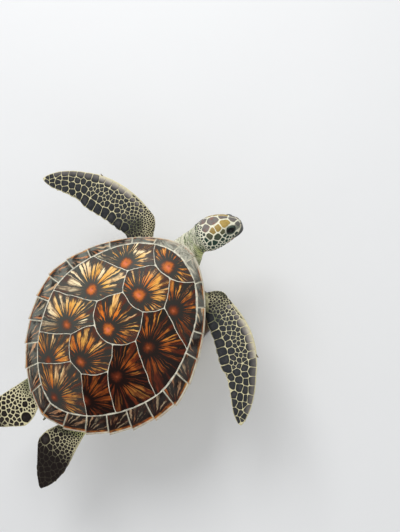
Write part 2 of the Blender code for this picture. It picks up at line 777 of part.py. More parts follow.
def claw(name, base, aim, finish, group, neighbour, cutters):
    """A small tapering claw, its root cut to the fin it grows from."""
    aim.normalize()
    side = aim.cross(Vector((0, 0, 1))).normalized()
    up = side.cross(aim)
    rings = []
    for share, size in ((0.0, 1.0), (0.4, 0.85), (0.75, 0.5), (1.0, 0.12)):
        centre = base + aim * CLAW_LENGTH * share
        ring = []
        for k in range(8):
            turn = math.pi * k / 4
            out = side * math.cos(turn) + up * math.sin(turn)
            ring.append(world(centre + out * CLAW_RADIUS * size))
        rings.append(ring)
    obj = loft(name, rings, finish, group)
    return boolean(obj, grown(neighbour, cutters), "DIFFERENCE")


def build_front_flipper(side, skin, horn, neighbours, group, cutters):
    rings = front_flipper_rings(side)
    wrist = BLADE_ROOT_RING
    arm = loft(f"front_arm_{side}", rings[: wrist + 1], skin, group)
    outward = (rings[-1][0] - rings[wrist][0]).normalized() * GAP
    root = [point + outward for point in rings[wrist]]
    blade = loft(f"front_flipper_{side}", [root] + rings[wrist + 1 :], skin, group)
    for other in neighbours:
        boolean(arm, other, "DIFFERENCE")
    point, aim = front_claw_place(side)
    claw(f"front_claw_{side}", point, aim, horn, group, blade, cutters)


def build_hind_flipper(side, skin, horn, neighbours, group, cutters):
    sign = 1 if side == "left" else -1
    rings = []
    for (xo, yo), (xi, yi), height, thickness in HIND_OUTLINE:
        lead, trail = (sign * xo, yo, height), (sign * xi, yi, height)
        rings.append(fin_ring(lead, trail, thickness))
    fin = loft(f"hind_flipper_{side}", rings, skin, group)
    for other in neighbours:
        boolean(fin, other, "DIFFERENCE")
    x, y, z = HIND_CLAW
    point = Vector((sign * x, y, z))
    claw(f"hind_claw_{side}", point, Vector((sign * 0.5, 0.87, 0)), horn, group, fin, cutters)


def build_tail(skin, neighbours, group):
    root, tip = Vector(TAIL_ROOT), Vector(TAIL_TIP)
    rings = []
    for k in range(5):
        part = k / 4
        radius = TAIL_ROOT_RADIUS * (1 - part) ** 1.2 + TAIL_TIP_RADIUS * part**0.5
        centre = root.lerp(tip, part)
        ring = []
        for side in range(12):
            turn = math.pi * side / 6
            ring.append(world(centre + Vector((math.cos(turn), 0, math.sin(turn) * 0.85)) * radius))
        rings.append(ring)
    tail = loft("tail", rings, skin, group)
    for other in neighbours:
        boolean(tail, other, "DIFFERENCE")


# ---- Stand ----
def build_base(group):
    finish = material("stand_base", (0.05, 0.05, 0.055), 0.5)
    work = bmesh.new()
    bmesh.ops.create_cube(work, size=1)
    for vertex in work.verts:
        vertex.co.x *= BASE_WIDTH
        vertex.co.y *= BASE_LENGTH
        vertex.co.z = (vertex.co.z + 0.5) * BASE_THICKNESS
    upright = [e for e in work.edges if abs(e.verts[0].co.z - e.verts[1].co.z) > BASE_THICKNESS / 2]
    bmesh.ops.bevel(work, geom=upright, offset=BASE_CORNER, segments=6, affect="EDGES", profile=0.5)
    mesh = bpy.data.meshes.new("stand_base")
    work.to_mesh(mesh)
    work.free()
    obj = bpy.data.objects.new("stand_base", mesh)
    obj.data.materials.append(finish)
    group.objects.link(obj)
    edge = obj.modifiers.new("edge", "BEVEL")
    edge.width = BASE_EDGE
    edge.segments = 2
    edge.limit_method = "ANGLE"
    edge.angle_limit = math.radians(60)
    return obj


def build_rod(name, y, group):
    """A turned rod with a round foot on the base and a round pad under the belly."""
    low = BASE_THICKNESS + GAP
    under = world((0, y / CARAPACE_LENGTH, belly(0, y / CARAPACE_LENGTH))).z
    high = under - ROD_TOP_GAP
    profile = [
        (0, high),
        (ROD_PAD_RADIUS, high),
        (ROD_PAD_RADIUS, high - ROD_FLANGE),
        (ROD_RADIUS, high - ROD_FLANGE * 2),
        (ROD_RADIUS, low + ROD_FLANGE * 2),
        (ROD_FOOT_RADIUS, low + ROD_FLANGE),
        (ROD_FOOT_RADIUS, low),
        (0, low),
    ]
    mesh = bpy.data.meshes.new(name)
    mesh.from_pydata([(r, 0, z) for r, z in profile], [(k, k + 1) for k in range(7)], [])
    obj = bpy.data.objects.new(name, mesh)
    obj.location.y = y
    obj.data.materials.append(material("stand_rod", (0.55, 0.55, 0.57), 0.3, 1.0))
    group.objects.link(obj)
    turn = obj.modifiers.new("turn", "SCREW")
    turn.steps = turn.render_steps = 16
    turn.use_merge_vertices = True
    turn.merge_threshold = 0.00001
    return obj


def main():
    clear_scene()
    group = collection("green_sea_turtle")
    cutters = collection("cutters")
    cutters.hide_render = True
    skin = material("skin", (0.20, 0.20, 0.14), 0.45)
    horn = material("claw", (0.16, 0.13, 0.09), 0.35)
    build_carapace(group)
    plastron = build_plastron(group)
    trunk = build_trunk(skin, group)
    neighbours = [grown(trunk, cutters), grown(plastron, cutters)]
    build_head(skin, group, cutters)
    neck = build_neck(skin, group)
    for other in neighbours:
        boolean(neck, other, "DIFFERENCE")
    for side in ("left", "right"):
        build_front_flipper(side, skin, horn, neighbours, group, cutters)
        build_hind_flipper(side, skin, horn, neighbours, group, cutters)
    build_tail(skin, neighbours, group)
    build_base(group)
    build_rod("stand_rod_front", -ROD_SPACING / 2, group)
    build_rod("stand_rod_rear", ROD_SPACING / 2, group)


main()
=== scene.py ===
"""The finish of a life-size green sea turtle on a display stand: shell, skin, scales, eyes, stand and studio.

Each piece is made by an operator of its own, in metres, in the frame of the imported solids. The head faces -Y,
the turtle's left side is +X, and the origin is the centre of the stand base's underside.
"""

import math
import random

import bmesh
import bpy
import numpy as np
from bpy.props import FloatProperty, FloatVectorProperty, IntProperty, PointerProperty
from mathutils import Matrix, Vector, noise
from mathutils.bvhtree import BVHTree

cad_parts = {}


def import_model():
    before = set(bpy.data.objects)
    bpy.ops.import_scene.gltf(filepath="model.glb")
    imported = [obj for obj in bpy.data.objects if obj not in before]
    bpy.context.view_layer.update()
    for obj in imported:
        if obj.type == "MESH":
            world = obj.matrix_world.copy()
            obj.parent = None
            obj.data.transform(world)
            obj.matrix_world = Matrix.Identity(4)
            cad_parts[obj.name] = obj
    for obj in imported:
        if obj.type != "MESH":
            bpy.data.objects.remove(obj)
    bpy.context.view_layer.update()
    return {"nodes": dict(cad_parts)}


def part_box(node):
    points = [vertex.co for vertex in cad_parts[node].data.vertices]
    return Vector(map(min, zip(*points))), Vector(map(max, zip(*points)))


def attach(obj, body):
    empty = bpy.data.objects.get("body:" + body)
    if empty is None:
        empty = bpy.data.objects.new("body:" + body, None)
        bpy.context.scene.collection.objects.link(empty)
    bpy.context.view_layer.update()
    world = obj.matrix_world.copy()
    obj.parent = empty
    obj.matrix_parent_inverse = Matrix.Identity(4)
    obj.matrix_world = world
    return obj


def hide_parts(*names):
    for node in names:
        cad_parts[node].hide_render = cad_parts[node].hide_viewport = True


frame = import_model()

bl_info = {
    "name": "Green Sea Turtle",
    "version": (1, 0, 0),
    "blender": (4, 5, 0),
    "location": "3D View > Sidebar > Turtle",
    "description": "Builds the shell, skin, scales, eyes and stand of a life-size green sea turtle",
    "category": "Object",
}

# ---- Places and proportions, in carapace lengths from the carapace's centre in its rim plane ----
CARAPACE_LENGTH = 0.480
RIM_HEIGHT = 0.238

RIM = {"half_width": 0.405, "widest": 0.010, "front": -0.5, "rear": 0.5, "powers": (1.58, 1.735)}
INNER = {"half_width": 0.347, "widest": -0.010, "front": -0.459, "rear": 0.442, "powers": (1.78, 1.62)}
DOME_HEIGHT = 0.135
DOME_CREST = -0.080
DOME_LENGTH_POWER = 2.25
DOME_SIDE_POWER = 1.9
DOME_SHOULDER = 0.9
MARGINAL_DEPTH = 0.0215
SERRATION = 0.0105
# How far the rim plates reach in over their neighbours, as a share of the way to the middle.
RIM_BROADENING = 0.058
NUCHAL_HALF_ARC = 0.040
MARGINALS_A_SIDE = 11
VERTEBRAL_AREOLES = [(0.0, -0.391), (0.0, -0.234), (0.0, -0.042), (0.0, 0.149), (0.0, 0.376)]
COSTAL_AREOLES = [(0.142, -0.281), (0.172, -0.102), (0.155, 0.084), (0.119, 0.272)]

# The head, from the snout: share of its length, height, depth and half width.
SNOUT = Vector((-0.089, -0.724, -0.018))
HEAD_LENGTH = 0.186
HEAD_TURNS = (math.radians(28.5), math.radians(-4), math.radians(42))
HEAD_PROFILE = [
    (0.00, 0.004, -0.024, 0.011),
    (0.04, 0.021, -0.036, 0.024),
    (0.13, 0.037, -0.045, 0.036),
    (0.26, 0.052, -0.050, 0.047),
    (0.42, 0.062, -0.055, 0.060),
    (0.62, 0.065, -0.060, 0.071),
    (0.80, 0.061, -0.062, 0.073),
    (1.00, 0.050, -0.058, 0.063),
]
HEAD_SQUARENESS = 2.35
MOUTH_HEIGHT = -0.0225
MOUTH_SLOPE = math.tan(math.radians(5))
EYE_BACK = 0.265
EYE_OUT = 0.0358
EYE_UP = 0.0150
# An eyeball's radius, in metres.
EYE_SIZE = 0.0212 * CARAPACE_LENGTH
EYE_SUNK = 0.0052
NECK_ROOT = Vector((0.022, -0.400, -0.092))
NECK_BEND = Vector((0.014, -0.502, -0.098))
NECK_ROOT_SIZE = (0.098, 0.048, 0.050)

# Front flippers: ((along, ahead) of the leading edge, the same of the trailing edge, thickness) from the elbow.
SHOULDER_ROWS = [((0.070, -0.325), (0.180, -0.245)), ((0.152, -0.388), (0.226, -0.298))]
SHOULDER_HEIGHT = -0.072
ARM_THICKNESS = 0.056
ELBOW = {1: (0.250, -0.430), -1: (0.243, -0.420)}
FLIPPER_REACH = {1: 0.508, -1: 0.520}
FLIPPER_SWEEP = {1: math.radians(19.7), -1: math.radians(38.0)}
FLIPPER_TUCK = {1: 0.008, -1: 0.034}
FLIPPER_TIP_HEIGHT = {1: -0.020, -1: -0.030}
FLIPPER_ARCH = 0.028
FLIPPER_LENGTH = 0.510
FLIPPER_ROWS = [
    ((-0.045, 0.035), (0.052, -0.088), 0.052),
    ((0.000, 0.068), (0.080, -0.081), 0.050),
    ((0.060, 0.096), (0.110, -0.072), 0.045),
    ((0.130, 0.114), (0.155, -0.060), 0.038),
    ((0.200, 0.121), (0.210, -0.051), 0.031),
    ((0.262, 0.119), (0.258, -0.045), 0.025),
    ((0.312, 0.109), (0.300, -0.030), 0.021),
    ((0.362, 0.097), (0.350, -0.021), 0.017),
    ((0.412, 0.079), (0.400, -0.020), 0.014),
    ((0.455, 0.057), (0.446, -0.021), 0.011),
    ((0.490, 0.031), (0.482, -0.015), 0.009),
    ((0.510, 0.008), (0.505, -0.004), 0.007),
]
# Plates along the trailing edge, as shares of the flipper's length, and the notch between their two rows.
TRAILING_PLATES = [0.115, 0.185, 0.255, 0.325, 0.395, 0.465, 0.535]
TRAILING_STEP = 0.07
TRAILING_NOTCH = 0.57
# Hind flippers: outer edge, inner edge, height, thickness.
HIND_ROWS = [
    ((0.150, 0.350), (0.055, 0.375), -0.085, 0.056),
    ((0.180, 0.425), (0.072, 0.450), -0.080, 0.048),
    ((0.196, 0.495), (0.062, 0.520), -0.075, 0.040),
    ((0.213, 0.560), (0.042, 0.580), -0.070, 0.032),
    ((0.230, 0.625), (0.044, 0.638), -0.066, 0.024),
    ((0.236, 0.685), (0.087, 0.691), -0.062, 0.017),
    ((0.227, 0.742), (0.142, 0.748), -0.058, 0.012),
    ((0.209, 0.784), (0.188, 0.782), -0.055, 0.008),
]
TAIL_ROOT = Vector((0.0, 0.400, -0.090))
TAIL_TIP = Vector((0.004, 0.566, -0.084))
SIDES = {"left": 1, "right": -1}
# Where a hind flipper turns dark, as shares of its length.
HIND_DUSK = {1: (0.70, 0.90), -1: (0.36, 0.70)}

# Rings of a plate's face, as shares of the way out from its growth centre.
PLATE_SHARES = [1.0, 0.95, 0.89, 0.82, 0.75, 0.68, 0.61, 0.54, 0.47, 0.40, 0.33, 0.26, 0.19, 0.12, 0.06]
SHORT_SHARES = [1.0, 0.86, 0.70, 0.52, 0.34, 0.17]
# Rounding of a plate's edge: (in from the outline, below its face), in metres.
EDGE_STEPS = [(0.0004, 0.0030), (0.0, 0.0009), (0.0002, 0.0004), (0.0007, 0.0001)]


# ---- Settings ----
def length(name, description, default):
    return FloatProperty(name=name, description=description, default=default, unit="LENGTH", precision=4)


def tint(name, description, default):
    return FloatVectorProperty(
        name=name, description=description, default=default, size=3, min=0, max=1, subtype="COLOR"
    )


class ShellSettings(bpy.types.PropertyGroup):
    pillow: length("Pillow", "How far a plate's middle swells above its edge", 0.0009)
    waver: length("Waver", "How far a seam strays from its smooth line", 0.0017)
    rays: IntProperty(name="Rays", description="Broad rays round each growth centre", default=21, min=4)
    ground: tint("Ground", "Dark horn between the rays", (0.010, 0.003, 0.002))
    glow: tint("Glow", "Red-brown horn beside the rays", (0.150, 0.024, 0.007))
    ray_warm: tint("Warm ray", "Orange of the deeper rays", (0.700, 0.175, 0.020))
    ray_gold: tint("Golden ray", "Amber yellow of the middle rays", (0.880, 0.500, 0.110))
    ray_pale: tint("Pale ray", "Cream of the palest rays", (1.000, 0.870, 0.560))
    areole: tint("Areole", "Red-orange growth centre", (0.760, 0.200, 0.095))
    # This grey is laid on where the shell is painted light: a painted sheen, strongest at the left front.
    sheen_grey: tint("Sheen", "Grey sheen of the marginal plates", (0.215, 0.235, 0.205))
    seam_colour: tint("Seam colour", "Pale growing edge between plates", (0.740, 0.710, 0.570))


class SkinSettings(bpy.types.PropertyGroup):
    coat: length("Coat depth", "How far the skin lies inside the solids, under its scales", 0.0007)
    grain: length("Grain", "Size of the cells that the skin is built from", 0.0014)
    fold: length("Neck fold", "Depth of the folds round the neck", 0.0016)
    cream: tint("Cream", "Skin between the scales", (0.700, 0.640, 0.400))
    neck: tint("Neck", "Pale greenish skin of the neck", (0.520, 0.560, 0.360))
    seam: tint("Seam", "White-cream skin between the scales of the head", (0.800, 0.780, 0.620))
    throat: tint("Throat", "Yellow-green skin of the throat", (0.560, 0.600, 0.240))
    fold_dark: tint("Fold", "Dark grey-green lines along the folds", (0.045, 0.060, 0.040))
    olive: tint("Olive", "Olive skin where the limbs leave the shell", (0.120, 0.130, 0.070))
    belly: tint("Belly", "Cream of the underside", (0.760, 0.700, 0.520))


class ScaleSettings(bpy.types.PropertyGroup):
    seam: length("Seam", "Width of skin between two scales", 0.0007)
    lift: length("Lift", "How far a large scale's middle stands above the skin", 0.0010)
    charcoal: tint("Charcoal", "Dark blue-grey scales of the front flippers", (0.026, 0.029, 0.033))
    umber: tint("Umber", "Brown-black scales of the hind flippers and elbows", (0.011, 0.007, 0.006))
    moss: tint("Moss", "Dark green scales of the cheeks", (0.020, 0.052, 0.036))
    amber: tint("Amber", "Amber scales above and behind the eyes", (0.480, 0.330, 0.090))
    # Ash and ivory also paint the highlight on the front flippers' scales towards their leading edges.
    ash: tint("Ash", "Grey of the scales on top of the head", (0.250, 0.225, 0.205))
    rose: tint("Rose", "Pinkish clouds in the grey scales", (0.340, 0.180, 0.140))
    ivory: tint("Ivory", "Pale worn edges and the scales beneath", (0.720, 0.660, 0.480))


class StandSettings(bpy.types.PropertyGroup):
    walnut: tint("Walnut", "Lighter bands of the base's wood", (0.090, 0.045, 0.024))
    walnut_dark: tint("Dark walnut", "Darker bands and pores of the base's wood", (0.028, 0.014, 0.008))
    steel: tint("Steel", "Brushed steel of the rods", (0.62, 0.62, 0.60))


class StageSettings(bpy.types.PropertyGroup):
    floor: tint("Floor", "Plain pale floor", (0.78, 0.79, 0.80))
    key_power: FloatProperty(name="Key", description="Power of the key light", default=54.0, unit="POWER")
    fill_power: FloatProperty(name="Fill", description="Power of the fill light", default=10.0, unit="POWER")
    sky: FloatProperty(name="Sky", description="Strength of the even light", default=0.55, min=0)
    lens_angle: FloatProperty(
        name="Lens angle", description="Vertical angle of view", default=math.radians(42), subtype="ANGLE"
    )


# ---- Mesh tools ----
def linked(name, data):
    """An object of a mesh, a lamp or a lens, placed in the scene."""
    obj = bpy.data.objects.new(name, data)
    bpy.context.scene.collection.objects.link(obj)
    return obj


def mesh_piece(name, points, faces, finish, mend=True):
    """An object from points and faces, smooth shaded, its faces turned out where mend is set."""
    mesh = bpy.data.meshes.new(name)
    mesh.from_pydata([tuple(point) for point in points], [], [tuple(face) for face in faces])
    if mend:
        work = bmesh.new()
        work.from_mesh(mesh)
        bmesh.ops.recalc_face_normals(work, faces=work.faces)
        work.to_mesh(mesh)
        work.free()
    mesh.shade_smooth()
    mesh.materials.append(finish)
    return linked(name, mesh)


def settle(obj, slot, *nodes):
    """Rides the piece on the model and hides the solids that it stands for. Its finish's slot is not used."""
    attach(obj, "root")
    if nodes:
        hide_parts(*nodes)
    return obj


def paint(obj, name, values):
    """Stores a value, a vector or a colour for each point of a piece."""
    values = np.asarray(values, np.float32)
    kinds = {1: ("FLOAT", "value"), 3: ("FLOAT_VECTOR", "vector"), 4: ("FLOAT_COLOR", "color")}
    kind, field = kinds[1 if values.ndim == 1 else values.shape[1]]
    layer = obj.data.attributes.new(name, kind, "POINT")
    layer.data.foreach_set(field, values.ravel())


def ring_faces(rows, count, capped=True):
    """Faces between rows of points that run round, with a fan over each end's own middle point."""
    faces = []
    for row in range(rows - 1):
        low = row * count
        for side in range(count):
            after = (side + 1) % count
            faces.append((low + side, low + after, low + count + after, low + count + side))
    if capped:
        first, last = rows * count, rows * count + 1
        top = (rows - 1) * count
        faces += [((side + 1) % count, side, first) for side in range(count)]
        faces += [(top + side, top + (side + 1) % count, last) for side in range(count)]
    return faces


def loft(name, rings, material, ends=None):
    """A closed piece through rings of points, and its points. Its ends close over their middles."""
    if ends is None:
        ends = [np.mean(rings[0], axis=0), np.mean(rings[-1], axis=0)]
    points = np.concatenate([*rings, np.array(ends)])
    return mesh_piece(name, points, ring_faces(len(rings), len(rings[0])), material), points


def shell_place(points):
    """How far out to the left and how far back points lie, in carapace lengths."""
    return points[..., 0] / CARAPACE_LENGTH, points[..., 1] / CARAPACE_LENGTH


def step_up(value, low, high):
    """A smooth rise from 0 at low to 1 at high, for a number or an array."""
    part = np.clip((value - low) / (high - low), 0.0, 1.0)
    return part * part * (3 - 2 * part)


def turns_of(count):
    """Angles of so many even steps round a full turn."""
    return np.linspace(0, math.tau, count, endpoint=False)


def closed_tangents(points):
    """Directions from each point's neighbour before it and to the one after it."""
    before = points - np.roll(points, 1, axis=0)
    after = np.roll(points, -1, axis=0) - points
    before /= np.linalg.norm(before, axis=1)[:, None] + 1e-12
    after /= np.linalg.norm(after, axis=1)[:, None] + 1e-12
    return before, after


def drawn_in(points, amount):
    """The closed plan outline moved inwards along its own normals."""
    before, after = closed_tangents(points)
    tangent = before + after
    tangent /= np.linalg.norm(tangent, axis=1)[:, None] + 1e-12
    ahead = np.roll(points, -1, axis=0)
    area = np.sum(points[:, 0] * ahead[:, 1] - ahead[:, 0] * points[:, 1])
    normal = np.stack([-tangent[:, 1], tangent[:, 0]], axis=1)
    return points + normal * amount * (1 if area > 0 else -1)


def softened(points, spacing=0.0024, corner=math.radians(20)):
    """The closed outline resampled closely, its gentle bends smoothed and its corners barely rounded."""
    before, after = closed_tangents(points)
    turn = np.arccos(np.clip(np.sum(before * after, axis=1), -1, 1))
    found, fixed = [], []
    for index, point in enumerate(points):
        ahead = points[(index + 1) % len(points)]
        steps = max(1, round(np.linalg.norm(ahead - point) / spacing))
        for step in range(steps):
            found.append(point + (ahead - point) * step / steps)
            fixed.append(step == 0 and turn[index] > corner)
    found, loose = np.array(found), ~np.array(fixed)
    for _ in range(40):
        eased = found * 0.5 + (np.roll(found, 1, axis=0) + np.roll(found, -1, axis=0)) * 0.25
        found[loose] = eased[loose]
    for _ in range(2):
        found = found * 0.5 + (np.roll(found, 1, axis=0) + np.roll(found, -1, axis=0)) * 0.25
    return found


# Chooses the field of noise that the seams stray by.
WAVER_SEED = 7


def wavered(points, amount):
    """The outline strayed by one field of noise, so that neighbours stray together."""
    noise.seed_set(WAVER_SEED)
    moved = []
    for x, y in points:
        broad = noise.noise_vector((x * 45, y * 45, 0.3))
        fine = noise.noise_vector((x * 130, y * 130, 4.1))
        moved.append((x + (broad.x + 0.35 * fine.x) * amount, y + (broad.y + 0.35 * fine.y) * amount))
    return np.array(moved)


# ---- Shader tools ----
class Wire:
    """A value on its way between shader nodes, with sums written as they are on paper."""

    def __init__(self, board, socket):
        self.board, self.socket = board, socket
        self.single = socket.type == "VALUE"

    def __add__(self, other):
        return self.board.sum("ADD", self, other) if self.single else self.board.vector("ADD", self, other)

    def __mul__(self, other):
        if self.single:
            return self.board.sum("MULTIPLY", self, other)
        if isinstance(other, tuple):
            return self.board.vector("MULTIPLY", self, other)
        return self.board.add("ShaderNodeVectorMath", {0: self, "Scale": other}, operation="SCALE")

    def __sub__(self, other):
        return self.board.sum("SUBTRACT", self, other)

    def __truediv__(self, other):
        return self.board.sum("DIVIDE", self, other)

    def at_least(self, other):
        return self.board.sum("MAXIMUM", self, other)

    def length(self):
        return self.board.vector("LENGTH", self, output="Value")

    def rise(self, low, high, start=0.0, end=1.0):
        """A smooth rise from start to end as the value goes from low to high."""
        inputs = {"Value": self, "From Min": low, "From Max": high, "To Min": start, "To Max": end}
        return self.board.add("ShaderNodeMapRange", inputs, interpolation_type="SMOOTHSTEP")

    def between(self, low, high):
        """A colour between two others, nearer the second as the value rises."""
        return self.board.mix(self, low, high)

    def noise(self, scale, detail=3.0, roughness=0.55, output="Fac"):
        inputs = {"Vector": self, "Scale": scale, "Detail": detail, "Roughness": roughness}
        return self.board.add("ShaderNodeTexNoise", inputs, output)

    def split(self):
        return self.board.add("ShaderNodeSeparateXYZ", {0: self}, None)


class Board:
    """Places shader nodes in a tree and links them."""

    def __init__(self, tree):
        self.tree = tree

    def feed(self, socket, value):
        if isinstance(value, Wire):
            self.tree.links.new(value.socket, socket)
        elif socket.type == "RGBA":
            socket.default_value = (*tuple(value)[:3], 1.0)
        else:
            socket.default_value = value

    def add(self, kind, inputs=(), output=0, **settings):
        """A node's output, or all of its outputs where none is named."""
        node = self.tree.nodes.new(kind)
        for name, value in settings.items():
            setattr(node, name, value)
        for name, value in dict(inputs).items():
            self.feed(node.inputs[name], value)
        if output is None:
            return [Wire(self, socket) for socket in node.outputs]
        return Wire(self, node.outputs[output])

    def sum(self, operation, *values, clamp=False):
        """A maths node: its operation's name and one to three values."""
        return self.add("ShaderNodeMath", dict(enumerate(values)), operation=operation, use_clamp=clamp)

    def vector(self, operation, *values, output=0):
        return self.add("ShaderNodeVectorMath", dict(enumerate(values)), output, operation=operation)

    def mix(self, part, low, high):
        return self.add("ShaderNodeMix", {0: part, 6: low, 7: high}, 2, data_type="RGBA")

    def attribute(self, name, output="Fac"):
        return self.add("ShaderNodeAttribute", output=output, attribute_name=name)

    def place(self):
        """The point's place in the object."""
        return self.add("ShaderNodeTexCoord", output="Object")

    def joined(self, *values):
        return self.add("ShaderNodeCombineXYZ", dict(enumerate(values)))

    def group(self, tree, **inputs):
        """The named outputs of a node group."""
        wires = self.add("ShaderNodeGroup", inputs.items(), None, node_tree=tree)
        return {wire.socket.name: wire for wire in wires}

    def grain(self, place, scale):
        return self.group(fine_grain(), Place=place, Scale=scale)

    def surface(self, colour, roughness, height, distance, strength=1.0):
        """A material's varying inputs, its fine relief given as a height."""
        inputs = {"Height": height, "Distance": distance, "Strength": strength}
        return {"Base Color": colour, "Roughness": roughness, "Normal": self.add("ShaderNodeBump", inputs)}


def effect(name, inputs, outputs):
    """Makes a shader node group, once, of the function that draws it."""

    def group_of(draw):
        def made():
            if name in bpy.data.node_groups:
                return bpy.data.node_groups[name]
            tree = bpy.data.node_groups.new(name, "ShaderNodeTree")
            for label in inputs:
                kind = "NodeSocketVector" if label == "Place" else "NodeSocketFloat"
                tree.interface.new_socket(name=label, in_out="INPUT", socket_type=kind)
            for label in outputs:
                tree.interface.new_socket(name=label, in_out="OUTPUT", socket_type="NodeSocketFloat")
            board = Board(tree)
            leave = tree.nodes.new("NodeGroupOutput")
            entry = board.add("NodeGroupInput", output=None)
            for label, value in draw(board, *entry[: len(inputs)]).items():
                board.feed(leave.inputs[label], value)
            return tree

        return made

    return group_of


def finish(name, **constants):
    """Makes a material, once, of the function that draws its varying inputs; constants go on the shader."""

    def material_of(draw):
        def made(*settings):
            if name in bpy.data.materials:
                return bpy.data.materials[name]
            material = bpy.data.materials.new(name)
            material.use_nodes = True
            shader = material.node_tree.nodes["Principled BSDF"]
            for label, value in constants.items():
                shader.inputs[label.replace("_", " ")].default_value = value
            board = Board(material.node_tree)
            for label, value in draw(board, *settings).items():
                board.feed(shader.inputs[label], value)
            return material

        return made

    return material_of


@effect("Ray fan", ("Place", "Share", "Count", "Seed", "Start", "Width", "Stray"), ("Mask", "Halo", "Tone"))
def ray_fan(board, place, share, count, seed, start, width, stray):
    """Wedge-shaped rays round a centre: a mask of the rays, a halo beside them and a tone for each ray."""
    x, y, _ = place.split()
    strayed = ((place * 60.0).noise(1.0, 2.0) - 0.5) * stray
    turn = board.sum("ARCTAN2", y, x) / math.tau * count + strayed
    cell = board.sum("FLOORED_MODULO", board.sum("FLOOR", turn), count)
    offset = board.sum("ABSOLUTE", board.sum("FRACT", turn) - 0.5)
    key = board.joined(cell, seed)
    tone, chance = board.add("ShaderNodeTexWhiteNoise", {"Vector": key}, None, noise_dimensions="2D")
    red, green, blue = chance.split()
    away = place.length()
    start = red * 0.011 + start
    width = (green * 0.26 + width) * away.rise(start, start + 0.018, 0.25, 1.0)
    begun = away.rise(start, start + 0.006)
    reach = blue * 0.5 + 0.62
    ended = share.rise(reach - 0.12, reach, 1.0, 0.0)
    mask = offset.rise(width - 0.09, width, 1.0, 0.0) * begun * ended
    wide = width + 0.16
    return {"Mask": mask, "Halo": offset.rise(wide - 0.2, wide, 1.0, 0.0) * begun, "Tone": tone}


@effect("Fine grain", ("Place", "Scale"), ("Tone", "Height", "Fine"))
def fine_grain(board, place, scale):
    """Fine mottling: a tone that varies about one half, and a height for a bump."""
    broad, fine = place.noise(scale, 4.0, 0.6), place.noise(scale * 7.0, 3.0, 0.6)
    return {"Tone": broad, "Height": fine * 0.35 + broad, "Fine": fine}


# ---- The shell's form ----
def oval(y, form):
    """Half the width of an oval outline at y, for an array."""
    ahead = np.clip((form["widest"] - y) / (form["widest"] - form["front"]), 0, 1)
    behind = np.clip((y - form["widest"]) / (form["rear"] - form["widest"]), 0, 1)
    front, rear = form["powers"]
    fore, aft = (1 - ahead**front) ** (1 / front), (1 - behind**rear) ** (1 / rear)
    return form["half_width"] * np.where(y < form["widest"], fore, aft)


def broadened(plan):
    """Plan points in metres, drawn towards the middle near the inner edge of the rim plates."""
    x, y = shell_place(plan)
    front, rear = INNER["powers"]
    ahead = np.maximum(INNER["widest"] - y, 0) / (INNER["widest"] - INNER["front"])
    behind = np.maximum(y - INNER["widest"], 0) / (INNER["rear"] - INNER["widest"])
    out = np.abs(x) / INNER["half_width"]
    fore, aft = (out**front + ahead**front) ** (1 / front), (out**rear + behind**rear) ** (1 / rear)
    place = np.where(ahead > 0, fore, aft)
    drawn = RIM_BROADENING * step_up(place, 0.70, 1.0) * (0.25 + 0.75 * step_up(y, -0.42, -0.15))
    middle = np.array([0.0, INNER["widest"] * CARAPACE_LENGTH])
    return middle + (plan - middle) * (1 - drawn)[..., None]


def dome(x, y):
    """Height of the carapace above its rim plane, in carapace lengths, for arrays."""
    reach = np.where(y < DOME_CREST, 0.5 + DOME_CREST, 0.5 - DOME_CREST)
    along = np.minimum(np.abs(y - DOME_CREST) / reach, 1.0)
    crest = DOME_HEIGHT * (1 - 0.98 * along**DOME_LENGTH_POWER)
    across = np.minimum(np.abs(x) / np.maximum(oval(y, RIM), 1e-6), 1.0)
    return crest * (1 - across**DOME_SIDE_POWER) ** DOME_SHOULDER


def dome_height(plan):
    """Height of the carapace over plan points, in metres."""
    x, y = shell_place(plan)
    return RIM_HEIGHT + dome(x, y) * CARAPACE_LENGTH


def upper_edge(node):
    """Plan points in order round the upper face of a plate's solid, from its foremost, in metres."""
    work = bmesh.new()
    work.from_mesh(frame["nodes"][node].data)
    bmesh.ops.remove_doubles(work, verts=work.verts, dist=0.00001)
    work.normal_update()
    upper = {face for face in work.faces if face.normal.z > 0.5}
    following = {}
    for face in upper:
        for loop in face.loops:
            if loop.link_loop_radial_next.face not in upper:
                following[loop.vert] = loop.link_loop_next.vert
    first = min(following, key=lambda vertex: (vertex.co.y, vertex.co.x))
    points, vertex = [], first
    while not points or vertex != first:
        points.append((vertex.co.x, vertex.co.y))
        vertex = following[vertex]
    work.free()
    return np.array(points)


def plate(name, outline, centre, height, material, up=1.0, pillow=0.0008, shares=PLATE_SHARES):
    """A closed plate over a plan outline: a rounded edge, a swelling face and a flat back."""
    loops = [(drawn_in(outline, inset), -drop, 1.0) for inset, drop in EDGE_STEPS]
    inner = drawn_in(outline, 0.0018)
    for part in shares:
        loops.append((centre + (inner - centre) * part, pillow * (1 - part**2), part))
    count = len(outline)
    points, places, parts = [], [], []
    for loop, rise, part in loops + [(centre[None, :], pillow, 0.0)]:
        z = height(loop) + up * rise
        points.append(np.column_stack([loop, z]))
        places.append(np.column_stack([loop - centre, z - height(centre[None, :])]))
        parts += [part] * len(loop)
    back = np.array([[*centre, height(centre[None, :])[0] - up * EDGE_STEPS[0][1]]])
    points = np.concatenate(points[:-1] + [back, points[-1]])
    places = np.concatenate(places[:-1] + [back * 0, places[-1]])
    parts = parts[:-1] + [0.0, 0.0]
    obj = mesh_piece(name, points, ring_faces(len(loops), count), material)
    paint(obj, "growth", places)
    paint(obj, "share", parts)
    return obj
